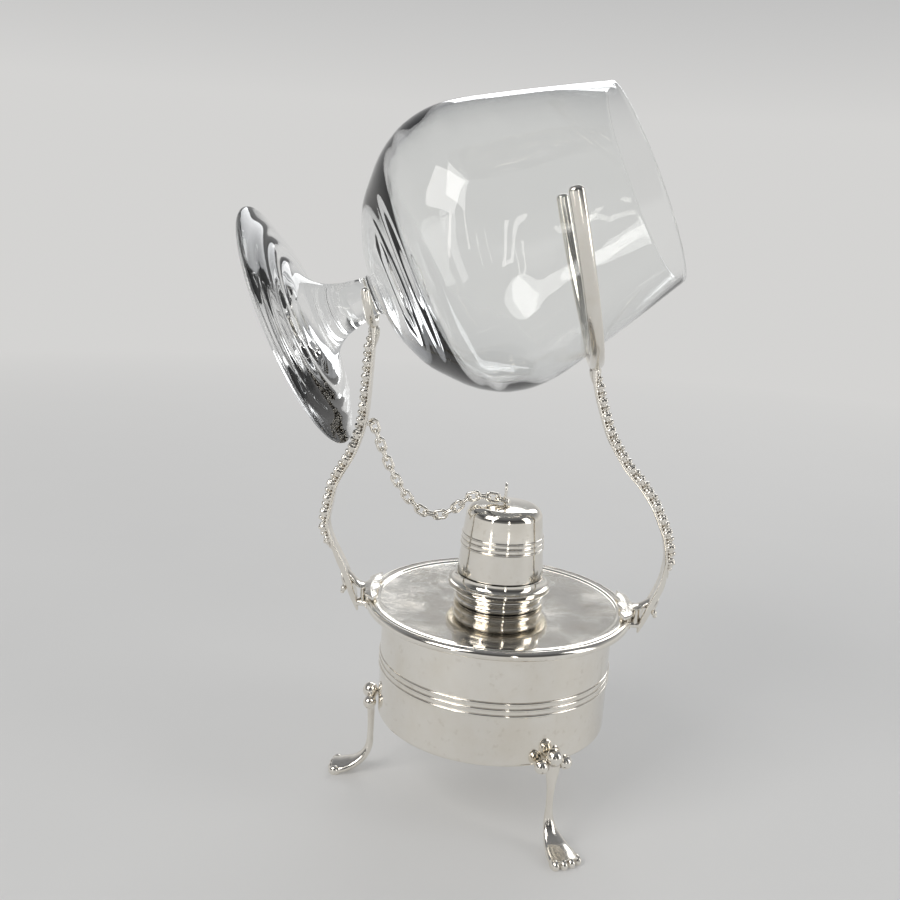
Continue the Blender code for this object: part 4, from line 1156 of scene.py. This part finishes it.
def dress_glass(mat):
    """Thin bowl with a thick base, a short stem and a foot with the rings that turning left in it."""
    floor = STEM_TOP + BOWL_FLOOR
    inner_height = GLASS_LENGTH - floor
    inner_radius = BOWL_RADIUS - BOWL_WALL
    lip = BOWL_WALL / 2
    edge = GLASS_FOOT_EDGE / 2
    inside = [(0, floor), (inner_radius * BOWL_FLAT_SHARE, floor)]
    inside += [(inner_radius * radius, floor + inner_height * height)
               for height, radius in BOWL_INNER_SHARES]
    inside.append((RIM_RADIUS - BOWL_WALL, GLASS_LENGTH - lip))
    profile = [(max(r, 0), h) for r, h in curve_through(inside)]
    profile += arc(RIM_RADIUS - lip, GLASS_LENGTH - lip, lip, 165, 15, 10)
    outside = [(RIM_RADIUS, GLASS_LENGTH - lip)] + bowl_outline() + cone_outline()
    outside.append((GLASS_FOOT_RADIUS - GLASS_FOOT_EDGE * EDGE_IN_SHARE, GLASS_FOOT_EDGE * EDGE_UP_SHARE))
    wave_start = STEM_RADIUS * WAVE_START_SHARE
    for r, h in curve_through(outside):
        if r > wave_start and h < STEM_TOP * WAVE_TOP_SHARE:
            share = (r - wave_start) / (GLASS_FOOT_RADIUS - wave_start)
            h += WAVE_HEIGHT * math.sin(share * FULL_TURN * WAVE_COUNT) * math.sin(share * math.pi)
        profile.append((r, h))
    profile += arc(GLASS_FOOT_RADIUS - edge, edge + WAVE_CLEAR, edge, 60, -90, 12)
    profile += [(GLASS_FOOT_RADIUS * share, GLASS_FOOT_EDGE * rise) for share, rise in FOOT_UNDER_SHARES]
    mesh = turned_mesh("balloon_glass", profile, math.radians(60))
    mesh.transform(Matrix.Translation(glass_base()) @ ALONG.to_track_quat("Z", "Y").to_matrix().to_4x4())
    place_piece("balloon_glass_look", mesh, mat, ["balloon_glass"], "glass")


# The arms

def direction(lean):
    return Vector((-math.sin(lean), 0, math.cos(lean)))


def stem_fork():
    low = Vector((-STEM_FORK_REACH, 0, STEM_FORK_HEIGHT))
    section = glass_radius(STEM_SEAT) / math.cos(GLASS_TILT - STEM_FORK_LEAN)
    return low, section + STEM_FORK_CLEAR + STEM_PRONG_WIDE / 2


def glass_base():
    low, radius = stem_fork()
    return low + direction(STEM_FORK_LEAN) * radius - ALONG * STEM_SEAT


def bowl_fork():
    radius = glass_radius(BOWL_SEAT)
    drop = radius + BOWL_UNDER_CLEAR
    low = glass_base() + ALONG * BOWL_SEAT - direction(BOWL_FORK_LEAN) * drop
    return low, radius + BOWL_FORK_CLEAR + PRONG_WIDE / 2, drop + BOWL_TIP_RISE


def arm_path(side, bulge_reach, bulge_height, fork_low, lower_shares, upper_shares):
    tip = Vector((DECK_RADIUS + ARM_TIP_STANDOFF, 0, ARM_TIP_HEIGHT))
    bulge = Vector((bulge_reach, 0, bulge_height))
    top = Vector((fork_low.x * side, 0, fork_low.z))
    points = []
    for start, end, shares in ((tip, bulge, lower_shares), (bulge, top, upper_shares)):
        span = end - start
        for reach, height in shares:
            points.append(Vector(((start.x + span.x * reach) * side, 0, start.z + span.z * height)))
    return spline_path(points, 8)


def outward(tangent, side):
    return Vector((tangent.z, 0, -tangent.x)) * side


def relief_growth(share):
    """How far the relief has grown at a place on the strap: none at the root, a point at the top."""
    start = clamp((share - RELIEF_START_SHARE) / RELIEF_GROW_SHARE)
    close = min(1, RELIEF_END_SHARES[0] + (1 - share) / RELIEF_POINT_SHARE * RELIEF_END_SHARES[1])
    return start * start * (3 - 2 * start) * close


def strap_into(bm, path, side):
    """The strap: a smooth plate with crisp edges and, on its outer face, the low ground of the relief."""
    length = even_path(path, 1)[1]
    count = round(length / RELIEF_PITCH) * 20
    spots = even_path(path, count)[0]
    back = -STRAP_THICK / 2
    top = STRAP_THICK / 2 + RELIEF_HEIGHT
    rings = []
    for i, (spot, tangent) in enumerate(zip(spots, tangents(spots))):
        share = i / count
        out = outward(tangent, side)
        taper = 1 - STRAP_TAPER_SHARE * share
        tip = min(1, STRAP_TIP_SHARE + share / TIP_RUN_SHARE)
        half = STRAP_WIDTH * taper * tip / 2
        grown = relief_growth(share)
        ground = top * (GROUND_SHARES[0] + GROUND_SHARES[1] * grown)
        edge = STRAP_THICK * (EDGE_SHARES[0] - EDGE_SHARES[1] * grown)
        outline = [(back + EDGE_ROUND * rise, wide) for rise, wide in STRAP_BACK_SHARES]
        outline += [(edge + EDGE_ROUND * rise, wide - slope * grown)
                    for rise, wide, slope in STRAP_EDGE_SHARES]
        outline += [(ground * rise, wide - slope * grown) for rise, wide, slope in STRAP_FACE_SHARES]
        thin = min(1, STRAP_POINT_SHARES[0] + share / STRAP_POINT_SHARES[1])
        outline = [(h * thin, w) for h, w in outline]
        ring = [spot + out * h + ACROSS * (half * w) for h, w in outline]
        ring += [spot + out * h - ACROSS * (half * w) for h, w in reversed(outline[:-1])]
        ring.append(spot + out * ((back + EDGE_ROUND) * thin))
        rings.append(ring)
    loft_into(bm, rings)


def relief_into(bm, path, side):
    """Leaves of three lobes at either edge, with a bud between and berries where they part."""
    length = even_path(path, 1)[1]
    units = round(length / RELIEF_PITCH)
    fine = 40
    spots = even_path(path, units * fine)[0]
    lines = tangents(spots)
    top = STRAP_THICK / 2 + RELIEF_HEIGHT * CROWN_SHARE
    for unit in range(units + 1):
        for along, aside, lift, half_long, half_wide, half_high, lean in RELIEF_SHARES:
            i = round((unit + along) * fine)
            share = i / (units * fine)
            grown = relief_growth(share)
            if not 0 <= i <= units * fine or grown < LEAST_GROWTH:
                continue
            half = STRAP_WIDTH * (1 - STRAP_TAPER_SHARE * share) / 2
            half *= min(1, WIDE_GROWTH[0] + WIDE_GROWTH[1] * grown)
            out = outward(lines[i], side)
            for sign in ((-1, 1) if aside else (1,)):
                turn = Matrix((lines[i], ACROSS, out)).transposed().to_4x4()
                turn = turn @ Matrix.Rotation(math.radians(lean) * sign, 4, "Z")
                centre = spots[i] + out * (top * lift * grown) + ACROSS * (half * aside * sign)
                sizes = (RELIEF_PITCH * half_long * min(1, LONG_GROWTH[0] + LONG_GROWTH[1] * grown),
                         half * half_wide, top * half_high * grown)
                ellipsoid_into(bm, centre, sizes, turn, 18, 12)


def fork_into(bm, low, lean, half_width, bend, height, wide, deep):
    up = direction(lean)
    normal = Vector((up.z, 0, -up.x))
    count = 120
    angles = [math.radians(-90) + math.radians(180) * i / count for i in range(count + 1)]
    spots = [low + ACROSS * (half_width * math.sin(a)) + up * (bend * (1 - math.cos(a))) for a in angles]
    rise = up * max(height - bend, TINY)
    spots = [spots[0] + rise] + spots + [spots[-1] + rise]
    spots = even_path(spots, count)[0]
    lines = tangents(spots)
    sizes = [1.0] * len(spots)
    tips = [spots[0], spots[-1]]
    for a in PRONG_DOME_ANGLES:
        dome = up * (wide / 2 * math.sin(a))
        spots = [tips[0] + dome] + spots + [tips[1] + dome]
        lines = [lines[0]] + lines + [lines[-1]]
        sizes = [math.cos(a)] + sizes + [math.cos(a)]
    rings = []
    for spot, tangent, size in zip(spots, lines, sizes):
        side = tangent.cross(normal)
        rings.append([spot + normal * (deep / 2 * size * c) + side * (wide / 2 * size * s)
                      for c, s in circle(28, 0.5)])
    loft_into(bm, rings)


def leaf_into(bm, side, radius, height, length, thick, width):
    """A pointed leaf with a rib and cut edges, bent along the deck's rim."""
    count = 90
    half_angle = length / 2 / radius
    flat, ribbed, veined = LEAF_FACE_SHARES
    rings = []
    for i in range(count + 1):
        share = 2 * i / count - 1
        angle = half_angle * share
        swell = max(LEAF_POINT_SHARE, (1 - share ** 2) ** LEAF_WIDE_POWER)
        lobe = 1 + LEAF_LOBE_SHARE * math.cos(LEAF_LOBES * FULL_TURN / 2 * share)
        outward = Vector((math.cos(angle) * side, math.sin(angle), 0))
        centre = outward * radius + Vector((0, 0, height))
        half_width = width / 2 * swell * lobe
        half_thick = thick / 2 * swell ** LEAF_THICK_POWER
        ring = []
        for c, s in circle(32):
            rib = math.exp(-(c / LEAF_RIB_SHARE) ** 2)
            vein = 0.5 + 0.5 * math.cos(FULL_TURN * (abs(share) * LEAF_VEINS - abs(c) * LEAF_VEIN_LEAN))
            lift = half_thick * s * (flat + ribbed * rib + veined * vein * abs(c))
            ring.append(centre + outward * (half_width * c) + Vector((0, 0, lift)))
        rings.append(ring)
    loft_into(bm, rings)


def bracket_into(bm, points, shares, thick):
    """A bar through points, whose half widths are shares of the strap's width."""
    path = spline_path(points, 8)
    widths = [p.x for p in spline_path([Vector((STRAP_WIDTH * w, 0, 0)) for w in shares], 8)]
    rings = []
    for spot, tangent, half in zip(path, tangents(path), widths):
        normal = Vector((tangent.z, 0, -tangent.x))
        rings.append([spot + normal * (thick / 2 * c) + ACROSS * (half * s) for c, s in circle(24)])
    loft_into(bm, rings)


def spur_into(bm, start, end, half_wide, half_high):
    """A leaf that tapers to a point: widest at a third of its length."""
    rings = []
    run = end - start
    upright = abs(run.normalized().dot(ACROSS)) > SPUR_ASIDE_SHARE
    side = Vector((0, 0, 1)) if upright else run.cross(ACROSS).normalized()
    across = run.cross(side).normalized()
    for i in range(17):
        share = i / 16
        grow = share * 1.5 if share < 1 / 3 else 0.5 + (share - 1 / 3) * 0.75
        swell = max(SPUR_POINT_SHARE, math.sin(math.pi * min(1, grow)))
        ring = []
        for c, s in circle(20):
            rib = 1 + SPUR_RIB_SHARES[0] * math.exp(-(c / SPUR_RIB_SHARES[1]) ** 2)
            ring.append(start + run * share + across * (half_wide * swell * c)
                        + side * (half_high * swell * rib * s))
        rings.append(ring)
    loft_into(bm, rings)


def clasp_into(bm, path, side):
    """Leaves over and under the rim, the branches and web between them and the strap, and its berries."""
    deck_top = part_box("deck_plate")[1].z
    deck_under = deck_top - 2 * RIM_ROLL_RADIUS
    leaf_radius = DECK_RADIUS - LEAF_WIDTH / 2 + GAP
    top_height = deck_top + GAP + TOP_LEAF_THICK / 2
    low_height = deck_under - GAP - LEAF_THICK / 2
    leaf_into(bm, side, leaf_radius, top_height, TOP_LEAF_LENGTH, TOP_LEAF_THICK, TOP_LEAF_WIDTH)
    leaf_into(bm, side, leaf_radius, low_height, LOW_LEAF_LENGTH, LEAF_THICK, LEAF_WIDTH)
    upper = deck_top + GAP + BRACKET_THICK / 2
    root = point_at_height(path, upper + STRAP_WIDTH * BRANCH_RISE_SHARES[side])
    seat = Vector((leaf_radius * side, 0, upper))
    fall = seat - root
    bends = [root + Vector((fall.x * over, 0, fall.z * down)) for over, down in BRANCH_BEND_SHARES]
    bracket_into(bm, [root] + bends + [seat], UPPER_BRACKET_SHARES, BRACKET_THICK)
    lower = deck_under - GAP - LOWER_BRACKET_THICK / 2
    root = point_at_height(path, lower)
    seat = Vector((leaf_radius * side, 0, lower))
    bracket_into(bm, [root, root.lerp(seat, 0.5), seat], LOWER_BRACKET_SHARES, LOWER_BRACKET_THICK)
    rim = DECK_RADIUS + GAP
    web = (abs(point_at_height(path, deck_under).x) - STRAP_THICK / 2 - rim) * WEB_SHARES[side]
    low = Vector(((rim + web / 2) * side, 0, lower))
    high = Vector((low.x, 0, upper))
    bracket_into(bm, [low, low.lerp(high, 0.5), high], LOWER_BRACKET_SHARES, web)
    inner = Vector((side * (leaf_radius - LEAF_WIDTH / 2 - BRACKET_THICK / 2), 0, top_height))
    wide, high = RIM_SPUR_SHARES
    spur_into(bm, Vector((side * DECK_RADIUS, 0, top_height)), inner, LEAF_WIDTH * wide, LEAF_THICK * high)

    def beside(height, out, aside=0):
        """A place near the tip: up and aside in the strap's widths, out in its thicknesses."""
        spot = point_at_height(path, ARM_TIP_HEIGHT + STRAP_WIDTH * height)
        return spot + Vector((side * STRAP_THICK * out, STRAP_WIDTH * aside, 0))

    for height, out, aside, size in TIP_BERRY_SHARES:
        ellipsoid_into(bm, beside(height, out, aside), (STRAP_WIDTH * size,) * 3, None, 18, 12)
    low, high = (beside(*place) for place in TIP_SPUR_PLACES)
    spur_into(bm, low, high, STRAP_WIDTH * TIP_SPUR_SHARES[0], STRAP_THICK * TIP_SPUR_SHARES[1])


def dress_arm(name, side, path, fork, mat):
    bm = bmesh.new()
    strap_into(bm, path, side)
    relief_into(bm, path, side)
    fork_into(bm, *fork)
    clasp_into(bm, path, side)
    rise, out, drop, wide, high = JOINT_SPUR_SHARES
    joint = path[-1] + Vector((0, 0, STRAP_THICK * rise))
    low = path[-1] + Vector((STRAP_THICK * out, 0, -STRAP_WIDTH * drop))
    spur_into(bm, joint, low, STRAP_WIDTH * wide, STRAP_THICK * high)
    mesh = melted(name + "_look", bm, ARM_VOXEL, 5)
    place_piece(name + "_look", mesh, mat, [name], "stand")


def dress_arms(mat):
    stem_low, stem_radius = stem_fork()
    path = arm_path(-1, STEM_BULGE_REACH, STEM_BULGE_HEIGHT, stem_low, STEM_LOWER_SHARES, STEM_UPPER_SHARES)
    dress_arm("stem_arm", -1, path, (stem_low, STEM_FORK_LEAN, stem_radius, stem_radius,
                                     stem_radius + STEM_TIP_RISE, STEM_PRONG_WIDE, STEM_PRONG_DEEP), mat)
    bowl_low, bowl_half, bowl_height = bowl_fork()
    path = arm_path(1, BOWL_BULGE_REACH, BOWL_BULGE_HEIGHT, bowl_low, BOWL_LOWER_SHARES, BOWL_UPPER_SHARES)
    dress_arm("bowl_arm", 1, path, (bowl_low, BOWL_FORK_LEAN, bowl_half, bowl_height, bowl_height,
                                    PRONG_WIDE, PRONG_DEEP), mat)


# The feet

def foot_bmesh():
    """Knee of three balls, a leg with two ridges that meet, and a fluted paw with round toes."""
    reach = DRUM_RADIUS + FOOT_STANDOFF
    height = FOOT_KNEE - GROUND
    stations = [Vector((reach + FOOT_SPREAD * x, 0, GROUND + height * z)) for x, z, w, t in FOOT_SHARES]
    path = spline_path(stations, 10)
    sizes = spline_path([Vector((w, t, 0)) for x, z, w, t in FOOT_SHARES], 10)
    bm = bmesh.new()
    rings = []
    count = len(path) - 1
    high, low, meet = RIDGE_SHARES
    for i, (spot, tangent, size) in enumerate(zip(path, tangents(path), sizes)):
        share = i / count
        normal = Vector((tangent.z, 0, -tangent.x))
        half_across = FOOT_WIDTH / 2 * size.x
        half_deep = FOOT_THICK / 2 * size.y
        flute = clamp((share - FLUTE_START_SHARE) * FLUTE_FADE)
        ridge = clamp((share - high) * RIDGE_FADE) * clamp((low - share) * RIDGE_FADE)
        split = RIDGE_SPLIT_SHARES[0] - RIDGE_SPLIT_SHARES[1] * clamp((share - high) / meet)
        ring = []
        for c, aside in circle(40):
            front = max(0, c)
            groove = FLUTE_DEPTH_SHARE * flute * front * math.cos(FULL_TURN * 2 * aside)
            crest = math.exp(-((abs(aside) - split) / RIDGE_WIDTH_SHARE) ** 2) - RIDGE_GROUND_SHARE
            grow = 1 + groove + RIDGE_DEPTH_SHARE * ridge * front * crest
            ring.append(spot + normal * (half_deep * c * grow) + ACROSS * (half_across * aside))
        rings.append(ring)
    loft_into(bm, rings)
    knee = DRUM_RADIUS + GAP + KNEE_BALL_RADIUS
    ellipsoid_into(bm, (knee, 0, KNEE_BALL_HEIGHT), (KNEE_BALL_RADIUS,) * 3)
    for aside in (-KNEE_SIDE_OFFSET, KNEE_SIDE_OFFSET):
        spot = (DRUM_RADIUS + GAP + KNEE_SIDE_RADIUS, aside, KNEE_BALL_HEIGHT - KNEE_SIDE_DROP)
        ellipsoid_into(bm, spot, (KNEE_SIDE_RADIUS,) * 3)
    row = FOOT_WIDTH - TOE_RADIUS * TOE_INSET_SHARE
    for i in range(TOE_COUNT):
        aside = row * (i / (TOE_COUNT - 1) - 0.5)
        back = TOE_RADIUS * TOE_BOW_SHARE * abs(2 * i / (TOE_COUNT - 1) - 1)
        out = stations[-1].x - back - TOE_RADIUS * TOE_BACK_SHARE
        ellipsoid_into(bm, (out, aside, GROUND + TOE_RADIUS * TOE_LIFT_SHARE),
                       [TOE_RADIUS * size for size in TOE_SHARES])
    return bm


def dress_feet(mat):
    first = melted("foot_look", foot_bmesh(), FOOT_VOXEL, 4, GROUND)
    for i in range(FOOT_COUNT):
        mesh = first.copy()
        mesh.transform(Matrix.Rotation(FULL_TURN / 2 + FULL_TURN * i / FOOT_COUNT, 4, "Z"))
        name = f"foot_{i + 1}"
        place_piece(name + "_look", mesh, mat, [name], "stand")


def main():
    make_camera()
    make_world()
    make_stage()
    silver = polished_silver()
    cast = cast_silver()
    dress_drum(silver)
    dress_deck(silver)
    dress_neck(silver)
    dress_burner(silver)
    dress_wick(cotton())
    dress_cap(silver)
    low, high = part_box("cap_loop")
    dress_arch("cap_loop", Vector((0, 0, low.z)), high.z - low.z, Vector((0, 0, 1)), silver, "cap")
    low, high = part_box("chain_staple")
    middle = Vector((low.x, 0, (low.z + high.z) / 2))
    dress_arch("chain_staple", middle, high.x - low.x, Vector((1, 0, 0)), silver, "stand")
    dress_chain(silver)
    dress_arms(cast)
    dress_feet(cast)
    dress_glass(blown_glass())


main()
